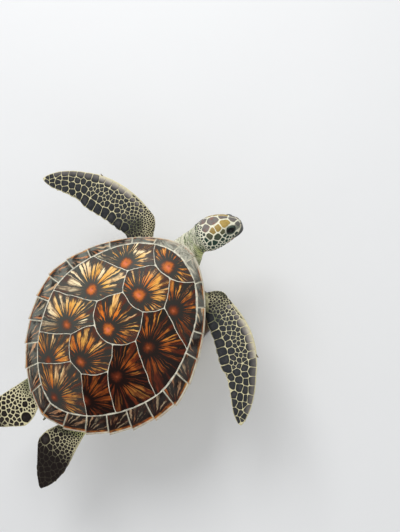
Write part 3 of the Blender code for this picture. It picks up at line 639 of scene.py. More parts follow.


# How pale each plate is, the strength of its rays and the glow of its growth centre. Paleness and ray strength are
# partly each plate's own tone and partly painted light: high on the left costals, lit from the left front, low on the
# right ones, in painted shade.
SCUTE_LOOKS = {
    "vertebral_1": (0.56, 0.95, 1.0), "vertebral_2": (0.48, 1.15, 1.0), "vertebral_3": (0.38, 1.15, 0.9),
    "vertebral_4": (0.36, 0.90, 0.60), "vertebral_5": (0.44, 0.95, 0.40), "costal_left_1": (0.84, 1.25, 0.95),
    "costal_left_2": (0.86, 1.2, 1.0), "costal_left_3": (0.74, 1.15, 0.62), "costal_left_4": (0.54, 1.0, 0.45),
    "costal_right_1": (0.30, 0.9, 0.50), "costal_right_2": (0.10, 0.92, 0.48),
    "costal_right_3": (0.02, 0.62, 0.36), "costal_right_4": (0.0, 0.42, 0.32),
}


def painted_shell_light(points):
    """How pale the shell is painted at plan points, as painted light with its grey sheen: most at the left front,
    which is painted lit, least at the right rear, in painted shade.
    """
    x, y = shell_place(points)
    return np.clip(0.42 + 1.05 * x - 0.62 * y, 0, 1)


def tone_plate(obj, seed, pale=None, strength=1.0, ember=1.0):
    """Stores what sets one plate's markings apart: its seed, paleness, the strength of its rays and its glow.
    Paleness and ray strength follow the shell's painted light, brighter at the left front.
    """
    points = np.array([vertex.co[:] for vertex in obj.data.vertices])
    shade = painted_shell_light(points)
    # light and strengths carry painted light: lit at the left front, painted shade at the right rear.
    light = shade if pale is None else np.clip(pale + 0.35 * (shade - shade.mean()), 0, 1)
    strengths = strength * np.clip(0.62 + 0.75 * shade, 0, 1.12)
    paint(obj, "look", np.column_stack([np.full(len(points), seed), light, strengths]))
    paint(obj, "ember", np.full(len(points), ember))


@finish("Scute", Specular_IOR_Level=0.07)
def scute_finish(board, settings):
    place = board.attribute("growth", "Vector")
    part = board.attribute("share")
    # pale and strength are partly each plate's own tone and partly painted light: they brighten the rays towards
    # cream on the lit plates.
    seed, pale, strength = board.attribute("look", "Vector").split()
    x, y, _ = place.split()
    away = place.length()
    reach = away.at_least(0.001)
    side, heading = x / reach, y / reach
    aim = board.joined(side, heading, seed)
    cluster = (aim * 1.7).noise(1.0, 2.0, 0.5)
    width = pale * 0.15 + cluster.rise(0.38, 0.6, -0.13, 0.15)
    thin_width = cluster.rise(0.3, 0.6, 0.0, 0.15)
    count = float(settings.rays)
    fan = {"Place": place, "Share": part}
    broad = board.group(ray_fan(), **fan, Count=count, Seed=seed, Start=0.014, Width=width, Stray=0.6)
    fan["Seed"] = seed + 41.7
    thin = board.group(ray_fan(), **fan, Count=count * 2 + 9, Start=0.016, Width=thin_width, Stray=1.2)
    behind = heading.rise(-0.1, 0.85, 1.0, 0.22)
    rays = broad["Mask"].at_least(thin["Mask"] * 0.8)
    streaks = board.joined(side * 12.0, heading * 12.0, away * 18.0 + seed).noise(1.0, 5.0, 0.68)
    blots = (place * 48.0 + aim).noise(1.0, 2.0, 0.5)
    rays = rays * streaks.rise(0.32, 0.58, 0.12, 1.0)
    rays = rays * blots.rise(0.34, 0.56, 0.25, 1.0)
    rays = rays * behind * strength
    rays = board.sum("MULTIPLY", rays, pale * 0.55 + 1.0, clamp=True)
    tone = broad["Tone"] * 0.6 + pale * 0.8
    tone = tone + away.rise(0.015, 0.06, -0.3, 0.0)
    colour = tone.rise(0.22, 0.72).between(settings.ray_warm, settings.ray_gold)
    colour = tone.rise(0.62, 1.1).between(colour, settings.ray_pale)
    flamed = streaks.rise(0.6, 0.36) * pale.rise(0.9, 0.2, 0.35, 0.75)
    colour = flamed.between(colour, settings.ray_warm)
    grain = board.grain(place, 70.0)
    glow = broad["Halo"] * streaks.rise(0.35, 0.7, 0.15, 1.0)
    # The grey mixed in by pale is a painted sheen on the lit plates.
    ground = (pale * 0.38).between(settings.ground, settings.sheen_grey)
    ground = (glow * pale.rise(0.0, 0.9, 0.95, 0.5)).between(ground, settings.glow)
    result = rays.between(ground, colour)
    ember = board.attribute("ember")
    ragged = (place * 75.0 + board.joined(seed, seed)).noise(1.0, 4.0, 0.65)
    spread = ragged * 0.014 + (away - 0.0095)
    spread = streaks.rise(0.35, 0.65) * 0.003 + spread
    spread = spread + ember.rise(0.3, 1.0, 0.004, 0.0)
    spot = spread.rise(0.002, 0.0175, 1.0, 0.0)
    dim = ember.rise(0.0, 1.0).between(settings.glow, settings.areole)
    dim = ragged.rise(0.5, 0.66, 0.0, 0.35).between(dim, board.mix(0.3, dim, settings.ray_pale))
    dim = grain["Tone"].rise(0.44, 0.62, 0.0, 0.55).between(dim, settings.glow)
    fiery = ember.rise(0.3, 1.0).between(settings.glow, settings.ray_warm)
    dim = spread.rise(0.0, 0.008).between(dim, fiery)
    dim = spread.rise(0.006, 0.014).between(dim, settings.glow)
    result = (spot * 0.95).between(result, dim)
    rings = board.sum("SINE", grain["Tone"] * 3.0 + part * 52.0)
    height = rings * 0.1 + (streaks * 0.5 + grain["Height"])
    return board.surface(result, grain["Fine"].rise(0.3, 0.75, 0.26, 0.42), height, 0.0005, 0.45)


@finish("Marginal", Specular_IOR_Level=0.07)
def marginal_finish(board, settings):
    place = board.attribute("growth", "Vector")
    part = board.attribute("share")
    look = board.attribute("look", "Vector")
    # Here pale and strength are the shell's painted light alone: the rim is greyer and its rays stronger where it is
    # painted lit.
    seed, pale, strength = look.split()
    rays = board.group(ray_fan(), Place=place, Share=part, Count=26.0, Seed=seed, Start=0.01, Width=0.1, Stray=1.2)
    away = place.length()
    grain = board.grain(place, 85.0)
    x, y, _ = place.split()
    reach = away.at_least(0.001)
    streaks = board.joined(x / reach * 7.0, y / reach * 7.0, away * 25.0 + seed).noise(1.0, 5.0, 0.65)
    # The grey that pale lays on is a painted sheen, strongest at the painted lit left front.
    ground = pale.rise(-0.15, 0.8, 0.0, 0.7).between(settings.ground, settings.sheen_grey)
    ground = streaks.rise(0.48, 0.75, 0.0, 0.6).between(ground, settings.glow)
    cloud = (place * 34.0 + look).noise(1.0, 3.0, 0.6)
    ground = cloud.rise(0.42, 0.6, 0.0, 0.85).between(ground, settings.ground)
    ray = rays["Tone"].between(settings.ray_warm, settings.ray_pale)
    mask = rays["Mask"] * strength * streaks.rise(0.4, 0.6)
    result = mask.between(ground, ray)
    rim = board.attribute("rim")
    patchy = (place * 52.0 + look).noise(1.0, 3.0, 0.6)
    burnt = rim.rise(0.0, 0.16) * patchy.rise(0.34, 0.54, 0.0, 0.92)
    ochre = streaks.rise(0.4, 0.62).between(settings.ray_warm, settings.ray_gold)
    result = burnt.between(result, patchy.rise(0.45, 0.7, 0.15, 0.6).between(settings.glow, ochre))
    border = board.attribute("border").at_least(rim.rise(0.34, 0.62))
    worn = grain["Tone"].rise(0.38, 0.6, 0.55, 0.9)
    result = (border * worn).between(result, settings.seam_colour)
    bleach = board.attribute("ember") * streaks.rise(0.4, 0.58, 0.3, 0.95)
    result = bleach.between(result, board.mix(0.3, settings.seam_colour, settings.sheen_grey))
    dusk = grain["Tone"].rise(0.48, 0.62, 0.0, 0.5).between(settings.seam_colour, settings.glow)
    result = board.attribute("under").between(result, dusk)
    height = streaks * 0.6 + grain["Height"]
    return board.surface(result, grain["Fine"].rise(0.3, 0.75, 0.28, 0.46), height, 0.0006, 0.6)


@finish("Seam")
def seam_finish(board, settings):
    grain = board.grain(board.place(), 120.0)
    dark = tuple(channel * 0.45 for channel in settings.seam_colour)
    colour = grain["Tone"].rise(0.4, 0.68).between(settings.seam_colour, dark)
    return board.surface(colour, grain["Fine"].rise(0.3, 0.7, 0.45, 0.65), grain["Height"], 0.0004)


class TURTLE_OT_scutes(bpy.types.Operator):
    """Makes the vertebral and costal plates of the carapace, each round its growth centre"""

    bl_idname = "turtle.scutes"
    bl_label = "Carapace plates"

    def execute(self, context):
        settings = context.scene.turtle_shell
        material = scute_finish(settings)
        places = {f"vertebral_{k + 1}": point for k, point in enumerate(VERTEBRAL_AREOLES)}
        for k, (x, y) in enumerate(COSTAL_AREOLES):
            places[f"costal_left_{k + 1}"] = (x, y)
            places[f"costal_right_{k + 1}"] = (-x, y)
        for seed, (node, areole) in enumerate(sorted(places.items())):
            outline = wavered(softened(broadened(upper_edge(node))), settings.waver)
            centre = np.array(areole) * CARAPACE_LENGTH
            obj = plate(f"{node}_scute", outline, centre, dome_height, material, pillow=settings.pillow)
            tone_plate(obj, 3.1 * seed + 1, *SCUTE_LOOKS[node])
            settle(obj, "scute", node)
        return {"FINISHED"}


# ---- The rim ----
def outline_table(form, count=900):
    """Points along the left half of an outline, front to rear, with their shares of its length."""
    turn = np.linspace(0, math.pi, count)
    y = (form["front"] + form["rear"]) / 2 - np.cos(turn) * (form["rear"] - form["front"]) / 2
    points = np.column_stack([oval(y, form), y]) * CARAPACE_LENGTH
    travelled = np.concatenate([[0.0], np.cumsum(np.linalg.norm(np.diff(points, axis=0), axis=1))])
    return points, travelled / travelled[-1], travelled[-1]


def at_share(table, shares):
    points, known, _ = table
    return np.column_stack([np.interp(shares, known, points[:, 0]), np.interp(shares, known, points[:, 1])])


def rim_stretch(first, last, serrated):
    """Inner and outer plan points of one rim plate between two shares of the outlines, less its seams."""
    steps = np.array(RIM_STEPS)
    sides = []
    for form in (INNER, RIM):
        table = outline_table(form)
        margin = RIM_SEAM / table[2]
        sides.append(at_share(table, (first + margin) * (1 - steps) + (last - margin) * steps))
    inner, outer = broadened(sides[0]), sides[1]
    away = outer - inner
    away /= np.linalg.norm(away, axis=1)[:, None]
    reach = SERRATION * CARAPACE_LENGTH * (steps**2 * serrated - 0.25)
    return inner + away * RIM_SEAM, outer + away * reach[:, None]


# Half the seam between two rim plates, in metres, and the places of a plate's points along its edges.
RIM_SEAM = 0.0006
RIM_STEPS = [0, 0.006, 0.018, 0.04, 0.08, *np.linspace(0.14, 0.86, 13), 0.92, 0.96, 0.982, 0.994, 1]
# Places across a rim plate's upper face, from its inner to its outer edge.
TOP_PARTS = (0.0, 0.012, 0.035, 0.08, 0.13, 0.22, 0.34, 0.48, 0.62, 0.74, 0.82, 0.88, 0.93, 0.97)


def rim_profile(inner, outer, ends):
    """A closed ring of points across a rim plate: over its top, round its edge and back beneath."""
    ring, under, rim = [], [], []
    for part in TOP_PARTS:
        plan = inner + (outer - inner) * part
        wall = 0.0012 * (1 - min(part / 0.05, 1.0)) ** 2
        rise = 0.0016 * part**2 + 0.0007 * math.sin(math.pi * part) - wall - ends
        ring.append((*plan, float(dome_height(plan[None, :])[0]) + rise))
        under.append(0.0)
        rim.append(step_up(part, 0.76, 1.02))
    reach = np.linalg.norm(outer - inner)
    away = (outer - inner) / reach
    borders = [step_up(part * reach, 0.0014, 0.0004) for part in TOP_PARTS]
    top, low = RIM_HEIGHT + 0.0012 - ends, RIM_HEIGHT - 0.0026
    for turn in np.linspace(0.5 * math.pi, -0.5 * math.pi, 6):
        plan = outer + away * 0.0018 * (math.cos(turn) - 1)
        ring.append((*plan, (top + low) / 2 + (top - low) / 2 * math.sin(turn)))
        under.append(0.5 - 0.5 * math.sin(turn))
        rim.append(1.0)
    deep = RIM_HEIGHT - MARGINAL_DEPTH * CARAPACE_LENGTH
    for part in (0.85, 0.65, 0.45, 0.25, 0.06, 0.0):
        plan = inner + (outer - inner) * part
        ring.append((*plan, deep + (low - deep) * part**0.8))
        under.append(1.0)
        rim.append(0.0)
    borders += [0.0] * (len(ring) - len(borders))
    return ring, under, rim, borders


def neck_bleach(points):
    """How far the rim is bleached, over the root of the neck."""
    x, y = shell_place(points)
    away = np.abs(x - 0.01)
    return (0.80 * step_up(away, 0.16, 0.05) * step_up(y, -0.36, -0.44)).astype(np.float32)


def rim_plate(name, inner, outer, growth, material, seed, strength):
    """One plate wrapped round the rim, with its markings growing from a point near its outer corner."""
    travelled = np.concatenate([[0.0], np.cumsum(np.linalg.norm(np.diff(outer, axis=0), axis=1))])
    rings, under, rim, border = [], [], [], []
    for index in range(len(inner)):
        near = min(travelled[index], travelled[-1] - travelled[index])
        found = rim_profile(inner[index], outer[index], 0.0011 * max(0, 1 - near / 0.0016) ** 2)
        rings.append(found[0])
        under += found[1]
        rim += found[2]
        border += [max(value, float(step_up(near, 0.0012, 0.0004))) for value in found[3]]
    obj, points = loft(name, rings, material)
    place = points - np.array([*growth, RIM_HEIGHT])
    paint(obj, "growth", place)
    paint(obj, "share", np.clip(np.linalg.norm(place, axis=1) / 0.075, 0, 1))
    paint(obj, "under", under + [0.5, 0.5])
    paint(obj, "rim", rim + [0.0, 0.0])
    paint(obj, "border", border + [0.0, 0.0])
    # The rim plates' paleness and ray strength are the shell's painted light alone.
    tone_plate(obj, seed, strength=strength)
    obj.data.attributes["ember"].data.foreach_set("value", neck_bleach(points))
    return obj


class TURTLE_OT_rim(bpy.types.Operator):
    """Makes the nuchal, marginal and supracaudal plates round the carapace's rim"""

    bl_idname = "turtle.rim"
    bl_label = "Rim plates"

    def execute(self, context):
        settings = context.scene.turtle_shell
        material = marginal_finish(settings)
        arc = outline_table(RIM)[2]
        start = NUCHAL_HALF_ARC * CARAPACE_LENGTH / arc
        step = (1 - start) / (MARGINALS_A_SIDE + 1)
        flip = np.array([-1, 1])
        inner, outer = rim_stretch(0.0, start, 0.4)
        inner[0, 0] = outer[0, 0] = 0.0
        inner = np.concatenate([inner[:0:-1] * flip, inner])
        outer = np.concatenate([outer[:0:-1] * flip, outer])
        growth = (inner[len(inner) // 2] + outer[len(outer) // 2]) / 2
        settle(rim_plate("nuchal_scute", inner, outer, growth, material, 5.0, 0.5), "marginal_scute", "nuchal")
        for index in range(MARGINALS_A_SIDE + 1):
            first = start + index * step
            serrated = float(step_up((index - 1) / 6, 0, 1))
            inner, outer = rim_stretch(first, min(first + step, 1.0), serrated)
            label = f"_{index + 1}" if index < MARGINALS_A_SIDE else ""
            stem = "marginal" if label else "supracaudal"
            strength = 0.55 + 0.25 * step_up(index, 7, 11)
            for side, mirror in SIDES.items():
                sign = np.array([mirror, 1])
                growth = (outer[-4] * 0.9 + inner[-4] * 0.1) * sign
                node = f"{stem}_{side}{label}"
                seed = 2.7 * index + 50 * mirror
                obj = rim_plate(f"{node}_scute", inner * sign, outer * sign, growth, material, seed, strength)
                settle(obj, "marginal_scute", node)
        return {"FINISHED"}


class TURTLE_OT_seams(bpy.types.Operator):
    """Makes the pale bed that shows between the plates of the carapace"""

    bl_idname = "turtle.seams"
    bl_label = "Seam bed"

    def execute(self, context):
        settings = context.scene.turtle_shell
        left = at_share(outline_table(RIM), np.linspace(0, 1, 60))
        rim = np.concatenate([left, left[-2:0:-1] * np.array([-1, 1])])
        middle = np.array([0.0, DOME_CREST * CARAPACE_LENGTH])
        rings = []
        steps = [(0.96, 0.0030), (0.978, 0.0012)]
        steps += [(part, 0.00045) for part in np.linspace(0.965, 0.05, 40)]
        for part, drop in steps:
            plan = middle + (rim - middle) * part
            rings.append(np.column_stack([plan, dome_height(plan) - drop]))
        top = dome_height(middle[None, :])[0]
        ends = [(*middle, top - 0.006), (*middle, top - 0.00045)]
        settle(loft("carapace_seam_bed", rings, seam_finish(settings), ends)[0], "scute")
        return {"FINISHED"}


# ---- The body's forms ----
def world(point):
    return Vector(point) * CARAPACE_LENGTH + Vector((0, 0, RIM_HEIGHT))


def in_metres(points):
    """Points given in carapace lengths from the carapace's centre, as an array in metres."""
    return points * CARAPACE_LENGTH + np.array([0, 0, RIM_HEIGHT])


def smooth_rows(rows, count):
    """A table of rows carried smoothly through to count rows."""
    rows = np.array(rows, float)
    place = np.linspace(0, len(rows) - 1, count)
    index = np.minimum(place.astype(int), len(rows) - 2)
    part = (place - index)[:, None]
    before, start = rows[np.maximum(index - 1, 0)], rows[index]
    end, after = rows[index + 1], rows[np.minimum(index + 2, len(rows) - 1)]
    cubic = 1.5 * (start - end) + 0.5 * (after - before)
    square = before - 2.5 * start + 2 * end - 0.5 * after
    return start + part * (0.5 * (end - before) + part * (square + part * cubic))


def facing(yaw, pitch, roll):
    """Forward, left and up of a head turned right by yaw, raised by pitch, its right side rolled up."""
    forward = Vector((-math.sin(yaw) * math.cos(pitch), -math.cos(yaw) * math.cos(pitch), math.sin(pitch)))
    level_left = Vector((math.cos(yaw), -math.sin(yaw), 0))
    level_up = forward.cross(level_left)
    up = level_up * math.cos(roll) + level_left * math.sin(roll)
    left = level_left * math.cos(roll) - level_up * math.sin(roll)
    return forward, left, up


HEAD_AXES = facing(*HEAD_TURNS)


def head_point(back, out, up):
    """A point in the head's own directions from the snout, in metres in the turtle's frame."""
    forward, left, upward = HEAD_AXES
    return world(SNOUT - forward * back + left * out + upward * up)


def in_head(points):
    """Points in the head's own directions: back from the snout, out to the left, up; in carapace lengths."""
    forward, left, upward = (np.array(axis) for axis in HEAD_AXES)
    local = (points - np.array(world(SNOUT))) / CARAPACE_LENGTH
    return np.column_stack([local @ -forward, local @ left, local @ upward])


def egg_ring(centre, left, up, half_width, top, bottom, sides=56):
    """A ring of points with unlike heights above and below its centre."""
    turn = 2 * np.pi * (np.arange(sides) + 0.5) / sides
    power = 2 / HEAD_SQUARENESS
    out = np.sign(np.cos(turn)) * np.abs(np.cos(turn)) ** power * half_width
    rise = np.sign(np.sin(turn)) * np.abs(np.sin(turn)) ** power
    height = np.where(rise > 0, rise * top, -rise * bottom)
    return in_metres(np.array(centre) + out[:, None] * np.array(left) + height[:, None] * np.array(up))


def head_rings():
    forward, left, up = HEAD_AXES
    rings = []
    for back, top, bottom, half_width in smooth_rows(HEAD_PROFILE, 70):
        rings.append(egg_ring(SNOUT - forward * back * HEAD_LENGTH, left, up, half_width, top, bottom))
    return rings


def neck_frame(part):
    """Centre and directions of the neck, part of the way from the trunk to the head."""
    nape = SNOUT - HEAD_AXES[0] * HEAD_LENGTH
    turned = float(step_up(part, 0, 1))
    centre = NECK_ROOT * (1 - part) ** 2 + NECK_BEND * 2 * part * (1 - part) + nape * part**2
    yaw, pitch, roll = HEAD_TURNS
    raised = math.radians(14) * (1 - turned) + pitch * turned
    return centre, *facing(yaw * turned, raised, roll * turned)


def neck_rings():
    _, top, bottom, half_width = HEAD_PROFILE[-1]
    rings = []
    for part in np.linspace(0, 1, 44):
        centre, _, left, up = neck_frame(part)
        narrowing = part**0.6
        width = NECK_ROOT_SIZE[0] * (1 - narrowing) + half_width * narrowing
        above = NECK_ROOT_SIZE[1] * (1 - part) + top * part
        below = -NECK_ROOT_SIZE[2] * (1 - part) + bottom * part
        rings.append(egg_ring(centre, left, up, width, above, below))
    return rings


def fin_ring(row):
    """A ring round a fin from its leading to its trailing point, rounded ahead and thin behind."""
    lead, trail, thickness = row[:3], row[3:6], row[6]
    thin_edge = max(0.0035, 0.3 * (thickness - 0.013))
    part = np.linspace(0, 1, 26) ** 1.5
    swell = np.minimum(2.6 * np.sqrt(part) * (1 - part) ** 0.85, 1.0)
    half = thickness / 2 * swell + thin_edge / 2 * part
    middle = lead + (trail - lead) * part[:, None]
    rise = half[:, None] * np.array([0, 0, 1])
    return in_metres(np.concatenate([middle + rise, (middle - rise)[:0:-1]]))


def flipper_axes(sign):
    sweep = FLIPPER_SWEEP[sign]
    return Vector((math.cos(sweep), math.sin(sweep))), Vector((math.sin(sweep), -math.cos(sweep)))


def flipper_place(sign, along_by, ahead_by):
    """A point of the front flipper's middle plane, from its distances along and ahead of the elbow."""
    along, ahead = flipper_axes(sign)
    stretch = FLIPPER_REACH[sign] / FLIPPER_LENGTH
    plan = Vector(ELBOW[sign]) + along * along_by * stretch + ahead * ahead_by
    part = max(along_by, 0.0) / FLIPPER_LENGTH
    height = SHOULDER_HEIGHT + (FLIPPER_TIP_HEIGHT[sign] - SHOULDER_HEIGHT) * part
    height += FLIPPER_ARCH * math.sin(math.pi * min(part, 1.0))
    return Vector((sign * plan.x, plan.y, height))


def flipper_table(sign):
    """Leading point, trailing point and thickness of the arm and flipper at many places along it."""
    rows = []
    for lead, trail in SHOULDER_ROWS:
        ends = [sign * lead[0], lead[1], SHOULDER_HEIGHT, sign * trail[0], trail[1], SHOULDER_HEIGHT]
        rows.append([*ends, ARM_THICKNESS])
    for lead, trail, thickness in FLIPPER_ROWS:
        tuck = FLIPPER_TUCK[sign] * max(0.0, 1 - max(lead[0], 0.0) / 0.160)
        ends = [*flipper_place(sign, lead[0], lead[1] - tuck), *flipper_place(sign, *trail)]
        rows.append([*ends, thickness])
    table = smooth_rows(rows, 260)
    along, ahead = flipper_axes(sign)
    flip = np.array([sign, 1])
    elbow, heading, out = ELBOW[sign] * flip, np.array(along) * flip, np.array(ahead) * flip
    lead_share, share = ((table[:, k : k + 2] - elbow) @ heading / FLIPPER_REACH[sign] for k in (0, 3))
    beat = np.abs(np.cos(np.pi * (share - TRAILING_PLATES[0]) / TRAILING_STEP))
    depth = np.where(share < TRAILING_NOTCH, 0.0062, 0.0030) * step_up(share, 0.06, 0.13)
    depth *= step_up(share, 0.97, 0.9)
    notch = 0.0045 * step_up(share, TRAILING_NOTCH - 0.004, TRAILING_NOTCH + 0.008)
    notch *= step_up(share, TRAILING_NOTCH + 0.12, TRAILING_NOTCH + 0.02)
    table[:, 3:5] += out * (depth * (1 - beat**0.7) + notch)[:, None]
    wave = 0.0022 * (1 - np.abs(np.cos(np.pi * (lead_share - 0.515) / 0.073)) ** 0.7)
    wave *= step_up(lead_share, 0.40, 0.5)
    wave *= step_up(lead_share, 0.97, 0.88)
    table[:, :2] -= out * wave[:, None]
    return table


def hind_table(sign):
    rows = []
    for (xo, yo), (xi, yi), height, thickness in HIND_ROWS:
        rows.append([sign * xo, yo, height, sign * xi, yi, height, thickness])
    return smooth_rows(rows, 160)


def tail_rings():
    rings = []
    for part in np.linspace(0, 1, 30):
        radius = 0.040 * (1 - part) ** 1.2 + 0.006 * part**0.5
        turn = turns_of(28)
        around = np.column_stack([np.cos(turn), np.zeros(28), np.sin(turn) * 0.85]) * radius
        rings.append(in_metres(around + np.array(TAIL_ROOT.lerp(TAIL_TIP, part))))
    return rings


def loft_into(work, rings):
    """Adds a closed loft through rings of points to a mesh being made."""
    points = np.concatenate([*rings, [rings[0].mean(axis=0), rings[-1].mean(axis=0)]])
    verts = [work.verts.new(point) for point in points]
    for face in ring_faces(len(rings), len(rings[0])):
        work.faces.new([verts[index] for index in face])


def evaluated_copy(mesh, *modifiers):
    """The mesh after modifiers, each a kind and its settings."""
    obj = linked("work", mesh)
    for kind, settings in modifiers:
        modifier = obj.modifiers.new(kind, kind)
        for name, value in settings.items():
            setattr(modifier, name, value)
    bpy.context.view_layer.update()
    made = bpy.data.meshes.new_from_object(obj.evaluated_get(bpy.context.evaluated_depsgraph_get()))
    bpy.data.objects.remove(obj)
    bpy.data.meshes.remove(mesh)
    return made


def trunk_mesh():
    """The trunk's solid, its facets smoothed."""
    work = bmesh.new()
    work.from_mesh(frame["nodes"]["trunk"].data)
    bmesh.ops.remove_doubles(work, verts=work.verts, dist=0.00001)
    bmesh.ops.join_triangles(
        work, faces=work.faces, angle_face_threshold=math.radians(40), angle_shape_threshold=math.radians(40)
    )
    mesh = bpy.data.meshes.new("trunk")
    work.to_mesh(mesh)
    work.free()
    return evaluated_copy(mesh, ("SUBSURF", {"levels": 2}))


# Copies of the plastron that fill the belly above it: raised by, in metres, and narrowed to.
PLASTRON_FILLING = [(0.0030, 0.985), (0.0075, 0.975), (0.0120, 0.96), (0.0165, 0.94), (0.0210, 0.915)]


def body_mesh(grain):
    """All the flesh as one even, closed mesh with no joins."""
    work = bmesh.new()
    trunk = trunk_mesh()
    work.from_mesh(trunk)
    bpy.data.meshes.remove(trunk)
    for raised, narrowed in PLASTRON_FILLING:
        first = len(work.verts)
        work.from_mesh(frame["nodes"]["plastron"].data)
        work.verts.ensure_lookup_table()
        for vertex in work.verts[first:]:
            vertex.co = (vertex.co.x * narrowed, vertex.co.y * narrowed, vertex.co.z + raised)
    bmesh.ops.remove_doubles(work, verts=work.verts, dist=0.00001)
    lofts = [head_rings(), neck_rings(), tail_rings()]
    for sign in SIDES.values():
        lofts += [[fin_ring(row) for row in table(sign)] for table in (flipper_table, hind_table)]
    for rings in lofts:
        loft_into(work, rings)
    bmesh.ops.recalc_face_normals(work, faces=work.faces)
    mesh = bpy.data.meshes.new("skin")
    work.to_mesh(mesh)
    work.free()
    return evaluated_copy(
        mesh,
        ("REMESH", {"mode": "VOXEL", "voxel_size": grain}),
        ("SMOOTH", {"factor": 0.5, "iterations": 4}),
    )


def read(mesh):
    """The mesh's points and their normals."""
    found = []
    for items, field in ((mesh.vertices, "co"), (mesh.vertex_normals, "vector")):
        values = np.empty(len(items) * 3, np.float32)
        items.foreach_get(field, values)
        found.append(values.reshape(-1, 3).astype(float))
    return found


def along_neck(points):
    """How far along the neck each point lies, from trunk to head, its turn round it and its distance."""
    parts = np.linspace(0, 1, 61)
    centres = np.array([world(neck_frame(part)[0]) for part in parts])
    axes = [neck_frame(part)[1:] for part in parts]
    away = np.linalg.norm(points[:, None, :] - centres[None, :, :], axis=2)
    near = away.argmin(axis=1)
    left = np.array([axis[1] for axis in axes])[near]
    up = np.array([axis[2] for axis in axes])[near]
    offset = points - centres[near]
    turn = np.arctan2(np.sum(offset * left, axis=1), np.sum(offset * up, axis=1))
    onward = np.gradient(centres, axis=0)[near]
    further = np.sum(offset * onward, axis=1) / np.sum(onward**2, axis=1)
    return parts[near] + further * (parts[1] - parts[0]), turn, away.min(axis=1)


def field(points, scale, seed=0.0):
    """Smooth noise at each point, about -1 to 1."""
    return np.array([noise.noise((x * scale[0], y * scale[1], z * scale[2] + seed)) for x, y, z in points])


def eye_frame(sign):
    """Centre of an eye and its directions: outward, forward and upward."""
    forward, left, up = HEAD_AXES
    centre = head_point(EYE_BACK * HEAD_LENGTH, sign * (EYE_OUT - EYE_SUNK), EYE_UP - EYE_SUNK * 0.3)
    outward = (left * sign * 0.90 + up * 0.36 + forward * 0.20).normalized()
    ahead = (forward - outward * forward.dot(outward)).normalized()
    ahead = (ahead - outward.cross(ahead) * 0.10 * sign).normalized()
    rise = outward.cross(ahead) * sign
    return centre, outward, ahead, rise if rise.dot(up) > 0 else -rise


def nostril(points, size=1.0):
    """How far each point lies in a nostril."""
    back, out, up = in_head(points).T
    off = ((np.abs(out) - 0.0085) / (0.0036 * size)) ** 2 + ((up - 0.0060) / (0.0030 * size)) ** 2
    return np.exp(-(off**2)) * (back < 0.04)


def hollow_head(points, normals):
    """Sinks the sockets, the nostrils and the mouth line into the skin of the head."""
    back, _, up = in_head(points).T
    points -= normals * 0.0024 * nostril(points, 1.15)[:, None]
    near = back < HEAD_LENGTH * 0.75
    line = MOUTH_HEIGHT - back * MOUTH_SLOPE
    depth = 0.0016 * np.exp(-(((up - line) * CARAPACE_LENGTH / 0.0011) ** 2))
    depth *= near * step_up(back, HEAD_LENGTH * 0.60, HEAD_LENGTH * 0.52)
    points -= normals * depth[:, None]
    for sign in SIDES.values():
        centre, outward, _, _ = eye_frame(sign)
        offset = points - np.array(centre)
        away = np.linalg.norm(offset, axis=1)
        facing_out = offset @ np.array(outward) / np.maximum(away, 1e-6)
        inside = (facing_out > math.cos(math.radians(52))) & (away < EYE_SIZE * 2)
        points[inside] = np.array(centre) + offset[inside] / away[inside, None] * EYE_SIZE * 0.80
    return points


# The eyelid's rings: how far out from the opening, and the height over the ball in metres.
LID_STEPS = [
    (0.0, -0.0010), (0.0, 0.0002), (0.02, 0.0008), (0.06, 0.0011), (0.11, 0.0011), (0.16, 0.0007), (0.21, 0.0010),
    (0.28, 0.0010), (0.34, 0.0006), (0.42, 0.0009), (0.52, 0.0009), (0.64, 0.0008), (0.78, 0.0006), (0.90, 0.0003),
    (1.0, 0.0),
]


def lid_into(work, tree, sign):
    """Adds the eyelids: an almond opening over the ball, its rim rounded, its folds fading into the head."""
    centre, outward, ahead, rise = eye_frame(sign)
    rings = []
    for part, height in LID_STEPS:
        ring = []
        for turn in turns_of(64):
            long, tall = math.cos(turn), math.sin(turn)
            reach = (abs(long) / 46) ** 1.7 + (abs(tall) / (31 if tall > 0 else 29)) ** 1.7
            opening = reach ** (-1 / 1.7)
            angle = math.radians(opening + (84 - opening) * part)
            aim = outward * math.cos(angle) + (ahead * long + rise * tall) * math.sin(angle)
            ball = centre + aim * (EYE_SIZE + height)
            place, normal, _, _ = tree.find_nearest(ball)
            surface = place + normal * (height * 0.5 if part < 0.9 else -0.0008)
            ring.append(ball.lerp(surface, float(step_up(part, 0.22, 0.85))))
        rings.append(np.array(ring))
    loft_into(work, rings)


